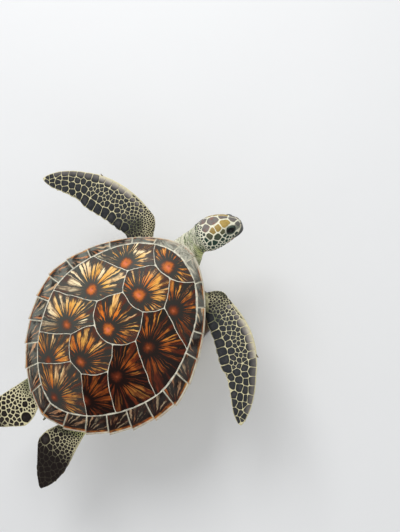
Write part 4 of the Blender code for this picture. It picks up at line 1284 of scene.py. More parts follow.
class TURTLE_OT_skin(bpy.types.Operator):
    """Makes the skin as one seamless piece, with its folds and eyelids, and the markings that lie on it"""

    bl_idname = "turtle.skin"
    bl_label = "Skin"

    def execute(self, context):
        settings = context.scene.turtle_skin
        mesh = body_mesh(settings.grain)
        points, normals = read(mesh)
        points -= normals * settings.coat
        part, turn, on_neck = self.neck(points)
        folds = np.flatnonzero(on_neck > 0)
        ring = np.column_stack([part[folds] * 16, np.sin(turn[folds]) * 1.2, np.cos(turn[folds]) * 1.2])
        depth = field(ring, (1, 1, 1)) + 0.6 * field(ring, (2.4, 1.6, 1.6), 7.0)
        points[folds] += normals[folds] * (depth * settings.fold * on_neck[folds])[:, None]
        slack = np.flatnonzero(self.slack(points) * (on_neck < 0.3) > 0.02)
        loose = points[slack]
        creases = 1 - np.abs(field(loose, (26, 26, 70), 3.0)) * 2.2 + 0.5 * field(loose, (90, 90, 160))
        points[slack] -= normals[slack] * (self.slack(loose) * np.clip(creases, 0, 1.4) * 0.0016)[:, None]
        on_head = self.off_head(points) < 0.08
        points[on_head] = hollow_head(points[on_head], normals[on_head])
        mesh.vertices.foreach_set("co", points.astype(np.float32).ravel())
        mesh.update()
        self.lids(mesh)
        mesh.shade_smooth()
        mesh.materials.append(skin_finish(settings))
        obj = linked("skin", mesh)
        self.markings(obj)
        settle(obj, "skin", *FLESH)
        return {"FINISHED"}

    def off_head(self, points):
        return np.linalg.norm(points - np.array(head_point(0.09, 0, 0)), axis=1)

    def neck(self, points):
        """Each point's place along and round the neck, and how far it belongs to the neck."""
        reach = np.linalg.norm(points - np.array(world(neck_frame(0.5)[0])), axis=1) < 0.13
        part, turn, away = np.zeros(len(points)), np.zeros(len(points)), np.ones(len(points))
        part[reach], turn[reach], away[reach] = along_neck(points[reach])
        back = in_head(points)[:, 0]
        weight = step_up(part, -0.02, 0.06) * step_up(back, HEAD_LENGTH * 0.90, HEAD_LENGTH * 0.97)
        return part, turn, weight * (away < 0.062) * (part > 0.001)

    def slack(self, points):
        """How loose the skin hangs: most between the carapace and the plastron, round the roots of the limbs."""
        x, y = shell_place(points)
        inside = step_up(np.hypot(x / 0.43, y / 0.55), 1.05, 0.90)
        height = points[:, 2] - RIM_HEIGHT
        return inside * step_up(height, -0.084, -0.070) * step_up(height, -0.004, -0.016)

    def lids(self, mesh):
        work = bmesh.new()
        work.from_mesh(mesh)
        tree = BVHTree.FromBMesh(work)
        for sign in SIDES.values():
            lid_into(work, tree, sign)
        bmesh.ops.recalc_face_normals(work, faces=work.faces)
        work.to_mesh(mesh)
        work.free()

    def markings(self, obj):
        """Stores where the skin is neck, throat, dark hind fin, belly and head."""
        points, normals = read(obj.data)
        part, turn, on_neck = self.neck(points)
        paint(obj, "neck", on_neck)
        paint(obj, "ring", np.column_stack([part * 40, np.sin(turn) * 2.2, np.cos(turn) * 2.2]))
        dark = np.zeros(len(points))
        for sign in SIDES.values():
            share = hind_share(points, sign)
            dark = np.maximum(dark, step_up(share, *HIND_DUSK[sign]) * (points[:, 0] * sign > 0))
        dark = np.maximum(dark, 0.75 * (np.abs(points[:, 0]) < 0.012) * (points[:, 1] > 0.475 * CARAPACE_LENGTH))
        belly = step_up(-normals[:, 2], 0.0, 0.5)
        yellow = on_neck * step_up(np.abs(turn), 1.3, 2.2)
        for sign in SIDES.values():
            share = hind_share(points, sign)
            near_root = step_up(share, 0.36, 0.24) * step_up(share, -0.05, 0.05) * (points[:, 0] * sign > 0.01)
            yellow = np.maximum(yellow, (1.0 if sign < 0 else 0.5) * near_root)
        x, y = shell_place(points)
        near_shell = step_up(np.hypot(x / 0.43, y / 0.53), 1.12, 0.98)
        back = in_head(points)[:, 0] / HEAD_LENGTH
        head = step_up(back, 0.99, 0.90) * (self.off_head(points) < 0.085)
        paint(obj, "zones", np.column_stack([dark, belly, yellow]))
        paint(obj, "ends", np.column_stack([near_shell, head, self.dusky(points) * (head > 0)]))

    def dusky(self, points):
        """How dark the skin is round the eyes and between them and the beak."""
        found = np.zeros(len(points))
        for sign in SIDES.values():
            centre, outward, ahead, rise = (np.array(axis) for axis in eye_frame(sign))
            offset = (points - centre) / EYE_SIZE
            along, tall = offset @ ahead, offset @ rise
            out = offset @ outward
            outer = (out > 0) * step_up(np.hypot(along, tall * 1.3), 1.30, 1.02)
            before = 0.75 * step_up(along, 0.5, 0.9) * step_up(along, 2.6, 1.8)
            before *= step_up(np.abs(tall + 0.10), 0.72, 0.45) * (out > -0.9)
            found = np.maximum(found, np.maximum(outer, before))
        return found


def hind_share(points, sign):
    """How far along a hind flipper points lie, 0 at its root and 1 at its tip."""
    root = np.array([sign * 0.100, 0.36]) * CARAPACE_LENGTH
    along = np.array([sign * 0.22, 0.98]) / math.hypot(0.22, 0.98)
    return (points[:, :2] - root) @ along / (0.43 * CARAPACE_LENGTH)


FLESH = ["trunk", "neck", "head", "lower_jaw", "upper_beak", "tail"]
FLESH += [f"{part}_{side}" for part in ("front_arm", "front_flipper", "hind_flipper") for side in SIDES]


@finish("Skin", Specular_IOR_Level=0.2)
def skin_finish(board, settings):
    place = board.place()
    neck = board.attribute("neck")
    dark, belly, low = board.attribute("zones", "Vector").split()
    root, head, dusky = board.attribute("ends", "Vector").split()
    grain = board.grain(place, 150.0)
    broad = place.noise(22.0, 3.0, 0.6)
    ring = board.attribute("ring", "Vector")
    lines = ring.noise(1.35, 5.0, 0.68)
    patches = (ring * 0.35).noise(1.0, 2.0, 0.5)
    colour = (root * broad.rise(0.35, 0.6)).between(settings.cream, settings.olive)
    colour = head.between(colour, settings.seam)
    neck_colour = patches.rise(0.4, 0.62).between(settings.seam, settings.neck)
    colour = neck.between(colour, neck_colour)
    colour = low.between(colour, settings.throat)
    line_mask = lines.rise(0.47, 0.58) * patches.rise(0.22, 0.52, 0.35, 1.0)
    colour = (neck * line_mask).between(colour, settings.fold_dark)
    colour = belly.between(colour, settings.belly)
    dusky_tone = grain["Tone"].rise(0.38, 0.62).between((0.01, 0.017, 0.016), (0.045, 0.075, 0.062))
    colour = dusky.between(colour, dusky_tone)
    mottle = grain["Tone"].rise(0.4, 0.68, 0.0, 0.22)
    colour = mottle.between(colour, settings.olive)
    colour = (dark * 0.97).between(colour, (0.012, 0.008, 0.006))
    height = lines * neck + grain["Height"]
    return board.surface(colour, grain["Fine"].rise(0.3, 0.7, 0.42, 0.6), height, 0.0006, 0.7)


# ---- Scales ----
class ScaleBed:
    """Raised plates set close together on the skin, each bounded by its neighbours."""

    # Rounded edge of a plate: (in from its outline, height as a share of its lift).
    EDGE = [(0.0, -1.1), (0.00008, 0.10), (0.0003, 0.42), (0.0009, 0.66)]
    FACE = [(0.70, 0.84), (0.36, 0.96)]

    def __init__(self, skin):
        self.tree = BVHTree.FromObject(skin, bpy.context.evaluated_depsgraph_get())
        # Each plate's place, normal and size go in the table.
        self.looks, self.limits = [], []
        self.table = np.zeros((12000, 7))

    def add(self, point, size, look, limits=()):
        """A plate at the skin nearest a point: its size, its colour weights and the edges it stays inside.

        A plate whose weights are None only keeps its place clear.
        """
        place, normal, _, _ = self.tree.find_nearest(point)
        self.table[len(self.looks)] = (*place, *normal, size)
        self.looks.append(look)
        self.limits.append(limits)

    def crowded(self, point, size, spacing=0.92):
        """Whether a plate of this size would crowd one that is already set on the same side."""
        place, normal, _, _ = self.tree.find_nearest(point)
        table = self.table[: len(self.looks)]
        away = np.linalg.norm(table[:, :3] - np.array(place), axis=1)
        same = table[:, 3:6] @ np.array(normal) > 0.1
        return bool(np.any(same & (away < spacing * (table[:, 6] + size))))

    def outline(self, index, turns, seam, cap):
        """Distances from a plate's middle to its outline, with the plane that they lie in."""
        power = 15
        table = self.table[: len(self.looks)]
        place, normal, size = table[index, :3], table[index, 3:6], table[index, 6]
        across = np.array(Vector(normal).orthogonal().normalized())
        over = np.cross(normal, across)
        flat = table[:, :3] - place
        flat -= (flat @ normal)[:, None] * normal
        gap = np.linalg.norm(flat, axis=1)
        near = (gap < 2.4 * (size + table[:, 6])) & (table[:, 3:6] @ normal > 0.1)
        near &= np.abs((table[:, :3] - place) @ normal) < 0.012
        near[index] = False
        flat, gap, sizes = flat[near], np.maximum(gap[near], 1e-5), table[near, 6]
        reach = np.maximum((gap**2 + size**2 - sizes**2) / (2 * gap) - seam / 2, size * 0.25)
        heading = np.arctan2(flat @ over, flat @ across)
        for edge, outward in self.limits[index]:
            outward = np.array(outward)
            level = outward - normal * (outward @ normal)
            limit = max((np.array(edge) - place) @ outward / max(np.linalg.norm(level), 0.2), size * 0.2)
            reach = np.append(reach, limit)
            heading = np.append(heading, math.atan2(level @ over, level @ across))
        facing_it = np.maximum(np.cos(turns[None, :] - heading[:, None]), 0) / reach[:, None]
        closeness = (facing_it**power).sum(axis=0) + (1 / (cap * size)) ** power
        return closeness ** (-1 / power), across, over

    def build(self, name, material, chart, seam, lift, count=24, cap=2.1):
        """One object holding every plate. The chart gives a plate's place on a flat unwrap of the limb."""
        points, faces, spots, looks, chances, charts, edges = [], [], [], [], [], [], []
        dice = random.Random(name)
        for index, look in enumerate(self.looks):
            if look is None:
                continue
            size = self.table[index, 6]
            place, normal = Vector(self.table[index, :3]), Vector(self.table[index, 3:6])
            sides = count if size > 0.0034 else 15
            turns = turns_of(sides)
            radii, across, over = self.outline(index, turns, seam, cap)
            radii *= 1 + 0.03 * np.sin(turns * 3 + index) + 0.02 * np.sin(turns * 5 + index * 2.3)
            aims = np.cos(turns)[:, None] * across + np.sin(turns)[:, None] * over
            self.keep_on(place, normal, aims, radii)
            height = lift * min(1.0, 0.35 + size / 0.009)
            rings = [(np.maximum(radii - inset, radii * 0.3), rise * height) for inset, rise in self.EDGE]
            inner = np.maximum(radii - 0.0009, radii * 0.3)
            rings += [(inner * part, rise * height) for part, rise in self.FACE]
            base = len(points)
            for ring, rise in rings:
                for aim in aims * ring[:, None]:
                    points.append(self.laid(place + Vector(aim), normal, rise))
            points.append(place - normal * height * 1.1)
            points.append(place + normal * height)
            for face in ring_faces(len(rings), sides):
                faces.append([base + corner for corner in face])
            spots += [float(ring[k] / radii[k]) for ring, _ in rings for k in range(sides)] + [0.0, 0.0]
            total = len(points) - base
            looks += [look] * total
            chances += [dice.random()] * total
            charts += [chart(place, normal, point) for point in points[base:]]
            made = np.array([tuple(point) for point in points[base:]])
            off = [(np.array(edge) - made) @ np.array(outward) for edge, outward in self.limits[index]]
            edges += np.min(off + [np.full(total, 0.05)], axis=0).tolist()
        obj = mesh_piece(name, points, faces, material, mend=False)
        paint(obj, "edge", edges)
        paint(obj, "spot", spots)
        paint(obj, "tints", looks)
        paint(obj, "chance", chances)
        corners = np.empty(len(obj.data.loops), np.int32)
        obj.data.loops.foreach_get("vertex_index", corners)
        layer = obj.data.uv_layers.new(name="OFBake")
        layer.uv.foreach_set("vector", np.array(charts, np.float32)[corners].ravel())
        return obj

    def keep_on(self, place, normal, aims, radii):
        """Draws an outline in where it would leave the skin or pass round a fin's edge."""
        for index, aim in enumerate(aims):
            for _ in range(9):
                _, facing_out, _, away = self.tree.find_nearest(place + Vector(aim) * radii[index])
                if away < 0.0012 + 0.25 * radii[index] and facing_out.dot(normal) > 0.3:
                    break
                radii[index] *= 0.85

    def laid(self, aim, normal, rise):
        """A point at a height above the skin nearest the aim."""
        place, facing_out, _, _ = self.tree.find_nearest(aim)
        return place + (facing_out if facing_out.dot(normal) > 0 else normal) * rise


@finish("Scale", Specular_IOR_Level=0.12)
def scale_finish(board, settings, skin):
    place = board.place()
    amber, moss, pale = board.attribute("tints", "Vector").split()
    spot, chance, edge = board.attribute("spot"), board.attribute("chance"), board.attribute("edge")
    # Scales whose amber weight is -1 grow paler towards the fin's edges: a painted highlight along the front
    # flippers' leading edges.
    edge_highlight = pale * edge.rise(0.017, 0.001, 0.15, 2.3)
    highlight_flag = amber.rise(0.0, -1.0)
    pale = pale + highlight_flag * (edge_highlight - pale)
    grain = board.grain(place, 160.0)
    cloud = place.noise(75.0, 3.0, 0.6)
    ground = moss.rise(-1.0, 0.0).between(settings.umber, settings.charcoal)
    ground = moss.rise(0.0, 1.0).between(ground, settings.moss)
    rosy = cloud.rise(0.5, 0.66) * amber.rise(-1.0, 0.0)
    ash = rosy.between(settings.ash, settings.rose)
    ground = pale.rise(0.0, 0.6).between(ground, ash)
    ground = pale.rise(0.5, 1.0).between(ground, settings.ivory)
    ground = amber.between(ground, settings.amber)
    middle = spot.rise(0.95, 0.2) * cloud.rise(0.35, 0.65, 0.2, 1.0)
    middle = middle * moss.rise(-2.0, -1.2)
    lift = (chance * 0.12 + 0.05) * middle
    lighter = lift.between(ground, settings.ash)
    mottled = grain["Tone"].rise(0.42, 0.66, 0.0, 0.35).between(lighter, board.mix(0.55, lighter, (0, 0, 0)))
    worn = (grain["Tone"] * 0.1 + spot).rise(0.99, 1.07)
    worn = worn.at_least(edge.rise(0.002, 0.0004))
    worn = worn * moss.rise(-2.0, -1.2, 0.03, 0.75)
    colour = worn.between(mottled, skin.cream)
    return board.surface(colour, grain["Fine"].rise(0.3, 0.7, 0.32, 0.5), grain["Height"], 0.0004, 0.6)


MOSSY = (0, 1, 0)
# Head scales: share of the head's length, degrees round it, size in mm, colour weights (amber, moss, pale).
HEAD_SCALES_MIDDLE = [
    (0.572, 1, 10.5, (0, 0, 0.42)), (0.330, -12, 6.2, (0, 0, 0.36)), (0.139, 5, 6.5, (0, 0, 0.38)),
    (0.139, -29, 6.5, (0, 0, 0.38)), (0.767, 25, 8.4, (0, 0, 0.42)), (0.82, -20, 7.6, (0, 0, 0.40)),
]
# These are set on both sides of the head.
HEAD_SCALES_SIDE = [
    (0.318, 30, 8.8, (0.9, 0, 0.1)), (0.489, 41, 5.8, (0.75, 0, 0.1)), (0.618, 45, 5.0, (0.7, 0, 0.1)),
    (0.722, 57, 5.8, (0.1, 0.9, 0.12)), (0.562, 70, 6.1, (0.05, 1, 0.08)), (0.416, 59, 4.0, (0.15, 1, 0.05)),
    (0.816, 65, 4.0, MOSSY), (0.771, 81, 3.7, MOSSY), (0.667, 86, 5.2, MOSSY), (0.491, 91, 3.7, MOSSY),
    (0.398, 78, 3.2, MOSSY), (0.365, 92, 3.4, MOSSY), (0.425, 106, 3.6, MOSSY), (0.60, 101, 3.0, MOSSY),
    (0.637, 114, 2.8, MOSSY), (0.545, 108, 2.8, MOSSY), (0.748, 104, 4.0, (0, 1, 0.05)),
    (0.838, 44, 2.6, (0, 0.6, 0.1)), (0.52, 122, 3.4, (0, 0.9, 0.1)), (0.73, 120, 3.4, (0, 0.8, 0.15)),
    (0.85, 98, 3.0, (0, 0.8, 0.1)), (0.90, 78, 2.6, (0, 0.7, 0.15)), (0.91, 58, 2.4, (0, 0.7, 0.2)),
    (0.93, 8, 3.0, (0, 0.2, 0.3)), (0.92, 30, 2.8, (0, 0.4, 0.25)), (0.075, 44, 3.8, (0, 0.5, 0.3)),
    (0.158, 52, 3.0, (0, 0.8, 0.12)),
]


def head_skin_point(tree, back, angle):
    """The skin's point at a share of the head's length and an angle round it, right side positive."""
    turn = math.radians(angle)
    centre = head_point(back * HEAD_LENGTH, 0, 0)
    _, left, up = HEAD_AXES
    hit, _, _, _ = tree.ray_cast(centre, up * math.cos(turn) - left * math.sin(turn))
    return hit


class TURTLE_OT_head_scales(bpy.types.Operator):
    """Makes the scales of the head"""

    bl_idname = "turtle.head_scales"
    bl_label = "Head scales"

    def execute(self, context):
        settings = context.scene.turtle_scales
        skin = bpy.data.objects["skin"]
        bed = ScaleBed(skin)
        for sign in SIDES.values():
            centre, outward, ahead, _ = eye_frame(sign)
            bed.add(centre + outward * EYE_SIZE, 0.0108, None)
            bed.add(centre + (outward + ahead * 0.9) * EYE_SIZE, 0.0060, None)
        for scales, mirrors in ((HEAD_SCALES_MIDDLE, (1,)), (HEAD_SCALES_SIDE, (1, -1))):
            for back, angle, size, look in scales:
                for mirror in mirrors:
                    bed.add(head_skin_point(bed.tree, back, angle * mirror), size / 1000, look)

        def chart(place, normal, point):
            back, out, up = in_head(np.array([place]))[0]
            turn = math.atan2(out, up)
            shift = (point - place) / 0.24
            _, left, upward = HEAD_AXES
            round_it = shift.dot(left * math.cos(turn) - upward * math.sin(turn))
            return 0.3 + back * 2 - shift.dot(HEAD_AXES[0]), 0.5 + turn * 0.13 + round_it

        points = read(skin.data)[0]
        back, out, up = in_head(points).T
        part = back / HEAD_LENGTH
        turned = np.degrees(np.arctan2(np.abs(out), up))
        off_mouth = (np.abs(up - MOUTH_HEIGHT + back * MOUTH_SLOPE) > 0.0065) | (part > 0.56)
        region = (part > 0.16) & (part < 1.01) & off_mouth & (np.abs(out) < 0.09)
        region &= (np.abs(up) < 0.09) & ((turned > 96) | (part > 0.86))
        for sign in SIDES.values():
            region &= np.linalg.norm(points - np.array(eye_frame(sign)[0]), axis=1) > 0.0150

        def wanted(point, normal, dice):
            back, out, up = in_head(np.array([point]))[0]
            angle = math.degrees(math.atan2(abs(out), up))
            pale = float(step_up(angle, 118, 140))
            size = dice.uniform(0.0022, 0.0032) if back < HEAD_LENGTH * 0.88 else dice.uniform(0.0015, 0.0021)
            return size, (0, 0.9 * (1 - pale), 0.1 + 0.75 * pale), 0.96, ()

        scatter(bed, skin, random.Random("head"), region, 9000, wanted)
        material = scale_finish(settings, context.scene.turtle_skin)
        obj = bed.build("head_scales", material, chart, 0.0015, settings.lift, count=36, cap=1.75)
        settle(obj, "skin")
        return {"FINISHED"}


class Fin:
    """Places on a fin: a from its root to its tip, b from its leading to its trailing edge."""

    def __init__(self, table, root, along):
        self.lead, self.trail = in_metres(table[:, :3]), in_metres(table[:, 3:6])
        self.along = np.array([*along, 0.0]) / np.linalg.norm(along)
        self.root = np.array([*root, 0.0]) * CARAPACE_LENGTH
        # Shares are first in metres, and their greatest is then the fin's length.
        self.length = 1.0
        self.length = max(self.share(self.lead).max(), self.share(self.trail).max())

    def share(self, points):
        """How far along the fin points lie."""
        return (np.array(points) - self.root) @ self.along / self.length

    def on_edge(self, points, places):
        """An edge's points at places along the fin."""
        shares = self.share(points)
        start = shares.argmin()
        rising = np.maximum.accumulate(shares[start:])
        return np.column_stack([np.interp(places, rising, points[start:, k]) for k in range(3)])

    def across(self, places):
        """How far each of many points lies from the leading edge (0) to the trailing edge (1)."""
        lead, trail = (self.on_edge(points, self.share(places))[:, :2] for points in (self.lead, self.trail))
        span = trail - lead
        return np.sum((places[:, :2] - lead) * span, axis=1) / np.maximum(np.sum(span**2, axis=1), 1e-6)

    def edge(self, points, a):
        """The point and the tangent of one edge at a."""
        before, after = self.on_edge(points, [a - 0.01, a + 0.01])
        return Vector((before + after) / 2), Vector(after - before).normalized()

    def point(self, a, b, upper):
        lead, _ = self.edge(self.lead, a)
        trail, _ = self.edge(self.trail, a)
        return lead.lerp(trail, b) + Vector((0, 0, 0.014 if upper else -0.014))

    def limits(self, a, margin=0.0017):
        """The edges that a plate at a stays inside."""
        found = []
        middle = self.edge(self.lead, a)[0].lerp(self.edge(self.trail, a)[0], 0.5)
        for points in (self.lead, self.trail):
            place, tangent = self.edge(points, a)
            outward = place - middle
            outward -= tangent * outward.dot(tangent)
            outward.z = 0
            outward.normalize()
            found.append((place - outward * margin, outward))
        return found


def scatter(bed, skin, dice, region, tries, wanted):
    """Sets plates at chance points of a region of the skin.

    Wanted gives a plate's size, colour weights, spacing and the edges it stays inside.
    """
    vertices = skin.data.vertices
    found = np.flatnonzero(region).tolist()
    for index in dice.sample(found, min(tries, len(found))):
        vertex = vertices[index]
        chosen = wanted(vertex.co, vertex.normal, dice)
        if not bed.crowded(vertex.co, chosen[0], chosen[2]):
            bed.add(vertex.co, chosen[0], chosen[1], chosen[3])


def limb_chart(fin):
    """An unwrap of a fin: its upper side on the left half, its lower side on the right half."""
    span = Vector(fin.along)
    across = Vector((-span.y, span.x, 0))

    def chart(place, normal, point):
        offset = point - Vector(fin.root)
        return 0.15 + offset.dot(span) / 0.4, (0.25 if normal.z > 0 else 0.75) + offset.dot(across) / 0.4

    return chart


# How many chance points are tried for the small scales of one fin.
FIN_TRIES = 14000
FRONT_ROWS_OF_SCALES = [
    # Place across, size in mm, places along, colour weights
    # The leading-edge rows below, with amber weight -1 and paler weights highest near the elbow, carry a painted
    # highlight.
    (0.10, 9.5, (0.515, 0.588, 0.661, 0.734, 0.807, 0.885), (-1, 0, 0.13)),
    (0.13, 5.0, (0.045, 0.09, 0.135), (-1, -0.3, 0.24)),
    (0.10, 8.2, (0.19, 0.255, 0.32, 0.385, 0.45), (-1, 0, 0.36)),
    (0.34, 7.2, (0.545, 0.605, 0.66, 0.72, 0.785, 0.85, 0.925), (0, 0, 0)),
    (0.60, 7.6, (0.57, 0.63, 0.70, 0.77, 0.84, 0.905), (0, 0, 0)),
    (0.86, 7.6, (0.605, 0.675, 0.745, 0.815, 0.885, 0.945), (0, 0, 0.02)),
    (0.84, 9.4, TRAILING_PLATES, (0, -0.1, 0)),
    (0.60, 5.6, (0.16, 0.22, 0.28, 0.34, 0.40, 0.46), (0, 0, 0.02)),
    (0.45, 6.0, (0.955,), (0, 0, 0.02)),
]


class TURTLE_OT_front_scales(bpy.types.Operator):
    """Makes the scales of both front flippers, above and beneath"""

    bl_idname = "turtle.front_scales"
    bl_label = "Front flipper scales"

    def execute(self, context):
        settings = context.scene.turtle_scales
        material = scale_finish(settings, context.scene.turtle_skin)
        skin = bpy.data.objects["skin"]
        points, normals = read(skin.data)
        for side, sign in SIDES.items():
            bed = ScaleBed(skin)
            along, _ = flipper_axes(sign)
            fin = Fin(flipper_table(sign), (sign * ELBOW[sign][0], ELBOW[sign][1]), (sign * along.x, along.y))
            dice = random.Random(f"front {side}")
            for upper in (True, False):
                self.rows(bed, fin, dice, upper)

            def wanted(point, normal, dice):
                a = fin.share(point)
                near = float(step_up(a, -0.10, 0.22))
                size = (0.0020 + 0.0021 * near) * dice.uniform(0.75, 1.15)
                if a > 0.50:
                    size *= dice.uniform(1.0, 1.3)
                # Amber -1 lets the upper scales take the painted highlight towards the fin's edges.
                look = (-1, -0.8 * (1 - near), 0.16 * (1 - near)) if normal.z > 0.15 else (0, 0, 0.85)
                return size, look, 0.95, fin.limits(a) if a > 0.04 else ()

            place = points * np.array([sign, 1, 1]) / CARAPACE_LENGTH
            outside = np.hypot(place[:, 0] / 0.40, place[:, 1] / 0.50) > 0.93
            shares = fin.share(points)
            flat = (np.abs(normals[:, 2]) > 0.5) | (shares < 0.02)
            region = (place[:, 0] > 0.135) & (place[:, 1] < 0.1) & outside & flat
            across = fin.across(points)
            region &= (across < 0.66) | (shares < 0.085) | (shares > 0.57)
            region &= (across > 0.19) | (shares < 0.16) | (shares > 0.93)
            scatter(bed, skin, dice, region, FIN_TRIES, wanted)
            name = f"front_flipper_scales_{side}"
            settle(bed.build(name, material, limb_chart(fin), settings.seam, settings.lift), "skin")
        return {"FINISHED"}

    def rows(self, bed, fin, dice, upper):
        for across, size, places, look in FRONT_ROWS_OF_SCALES:
            for a in places:
                step = 0 if across == 0.84 else dice.uniform(-0.007, 0.007)
                b = across + dice.uniform(-0.025, 0.025)
                tone = look if upper else (0, 0, 0.85)
                bed.add(fin.point(a + step, b, upper), size / 1000, tone, fin.limits(a))


# Place along, place across, size in mm
HIND_LARGE_SCALES = [(0.525, 0.87, 13.0), (0.385, 0.88, 5.8), (0.455, 0.60, 7.2), (0.385, 0.64, 5.2)]


class TURTLE_OT_hind_scales(bpy.types.Operator):
    """Makes the scales of both hind flippers, above and beneath"""

    bl_idname = "turtle.hind_scales"
    bl_label = "Hind flipper scales"

    def execute(self, context):
        settings = context.scene.turtle_scales
        material = scale_finish(settings, context.scene.turtle_skin)
        skin = bpy.data.objects["skin"]
        points, normals = read(skin.data)
        for side, sign in SIDES.items():
            bed = ScaleBed(skin)
            fin = Fin(hind_table(sign), (sign * 0.100, 0.36), (sign * 0.22, 0.98))
            dice = random.Random(f"hind {side}")
            for upper in (True, False):
                look = (0, -1, 0) if upper else (0, 0, 0.8)
                for a, b, size in HIND_LARGE_SCALES:
                    bed.add(fin.point(a, b, upper), size / 1000, look, fin.limits(a))

            def wanted(point, normal, dice):
                a = fin.share(point)
                far = float(step_up(a, *HIND_DUSK[sign]))
                size = (0.0024 + 0.0032 * float(step_up(a, 0.35, 0.68))) * dice.uniform(0.7, 1.15)
                look = (0, -1 - far, 0) if normal.z > 0.1 else (0, 0, 0.8)
                return size, look, 1.0, fin.limits(a) if a > 0.1 else ()

            shares = fin.share(points)
            region = (points[:, 0] * sign > 0.014) & (shares > 0.02) & (points[:, 1] > 0.185)
            region &= np.abs(normals[:, 2]) > 0.45
            off_middle = np.abs(points[:, 2] - (RIM_HEIGHT - 0.083 * CARAPACE_LENGTH))
            region &= (shares > 0.22) | (off_middle < 0.0165)
            scatter(bed, skin, dice, region, FIN_TRIES, wanted)
            seam = settings.seam * (2.7 if side == "left" else 1.3)
            name = f"hind_flipper_scales_{side}"
            settle(bed.build(name, material, limb_chart(fin), seam, settings.lift), "skin")
        return {"FINISHED"}


# ---- Eyes, beak and claws ----
@finish("Wet eye", Specular_IOR_Level=0.12, Coat_Weight=0.3, Coat_Roughness=0.03)
def eye_finish(board):
    facing_out = board.attribute("facing")
    streaks = board.attribute("ring", "Vector").noise(9.0, 4.0, 0.7)
    iris = streaks.between((0.006, 0.004, 0.003), (0.024, 0.014, 0.007))
    colour = facing_out.rise(0.8, 0.84).between(iris, (0.002, 0.002, 0.002))
    colour = facing_out.rise(0.62, 0.72, 1.0, 0.0).between(colour, (0.012, 0.01, 0.008))
    return board.surface(colour, 0.08, streaks, 0.00004)


class TURTLE_OT_eyes(bpy.types.Operator):
    """Makes the wet dark eyes"""

    bl_idname = "turtle.eyes"
    bl_label = "Eyes"

    def execute(self, context):
        material = eye_finish()
        for side, sign in SIDES.items():
            centre, outward, ahead, rise = eye_frame(sign)
            radius = EYE_SIZE - 0.0001
            around = [ahead * math.cos(turn) + rise * math.sin(turn) for turn in np.linspace(0, math.tau, 72)[:-1]]
            rings = []
            for part in np.linspace(0.03, 1.0, 40) ** 1.15:
                angle = math.pi * min(part, 0.985)
                reach = radius * (1 + 0.02 * math.exp(-((angle / 0.5) ** 2)))
                rings.append([centre + (outward * math.cos(angle) + aim * math.sin(angle)) * reach for aim in around])
            ends = [centre + outward * radius * 1.02, centre - outward * radius]
            obj, points = loft(f"eyeball_{side}", rings, material, ends)
            offset = (points - np.array(centre)) / radius
            paint(obj, "facing", offset @ np.array(outward))
            turn = np.arctan2(offset @ np.array(rise), offset @ np.array(ahead))
            paint(obj, "ring", np.column_stack([np.cos(turn), np.sin(turn), offset @ np.array(outward) * 0.1]))
            settle(obj, "eye", f"eye_{side}")
        return {"FINISHED"}


def sheet(name, outer, inner, material):
    """A closed thin sheet between two grids of points."""
    rows, columns = outer.shape[:2]
    count = rows * columns
    points = np.concatenate([outer.reshape(-1, 3), inner.reshape(-1, 3)])
    faces = []
    for row in range(rows - 1):
        for column in range(columns - 1):
            corner = row * columns + column
            quad = [corner, corner + 1, corner + columns + 1, corner + columns]
            faces += [quad, [count + index for index in reversed(quad)]]
    edge = list(range(columns))
    edge += [row * columns + columns - 1 for row in range(1, rows)]
    edge += [(rows - 1) * columns + column for column in range(columns - 2, -1, -1)]
    edge += [row * columns for row in range(rows - 2, 0, -1)]
    for here, following in zip(edge, edge[1:] + edge[:1]):
        faces.append([here, following, count + following, count + here])
    return mesh_piece(name, points, faces, material)


@finish("Beak horn")
def beak_finish(board, settings):
    place = board.place()
    share = board.attribute("share")
    grain = board.grain(place, 140.0)
    streaks = (place * (260.0, 260.0, 60.0)).noise(1.0, 4.0, 0.6)
    colour = grain["Tone"].rise(0.35, 0.65, 0.0, 0.5).between(settings.moss, settings.ash)
    dark = (streaks * 0.5 + share).rise(0.3, 0.85, 0.88, 0.45)
    colour = dark.between(colour, settings.umber)
    pale = (grain["Tone"] * 0.3 + share).rise(0.92, 1.12)
    colour = (pale * 0.7).between(colour, settings.ivory)
    # Near-black in the nostrils: painted shade in their openings.
    colour = board.attribute("pit").rise(0.15, 0.55).between(colour, (0.003, 0.003, 0.003))
    height = streaks * 0.6 + grain["Height"]
    return board.surface(colour, grain["Fine"].rise(0.3, 0.7, 0.22, 0.36), height, 0.0003)


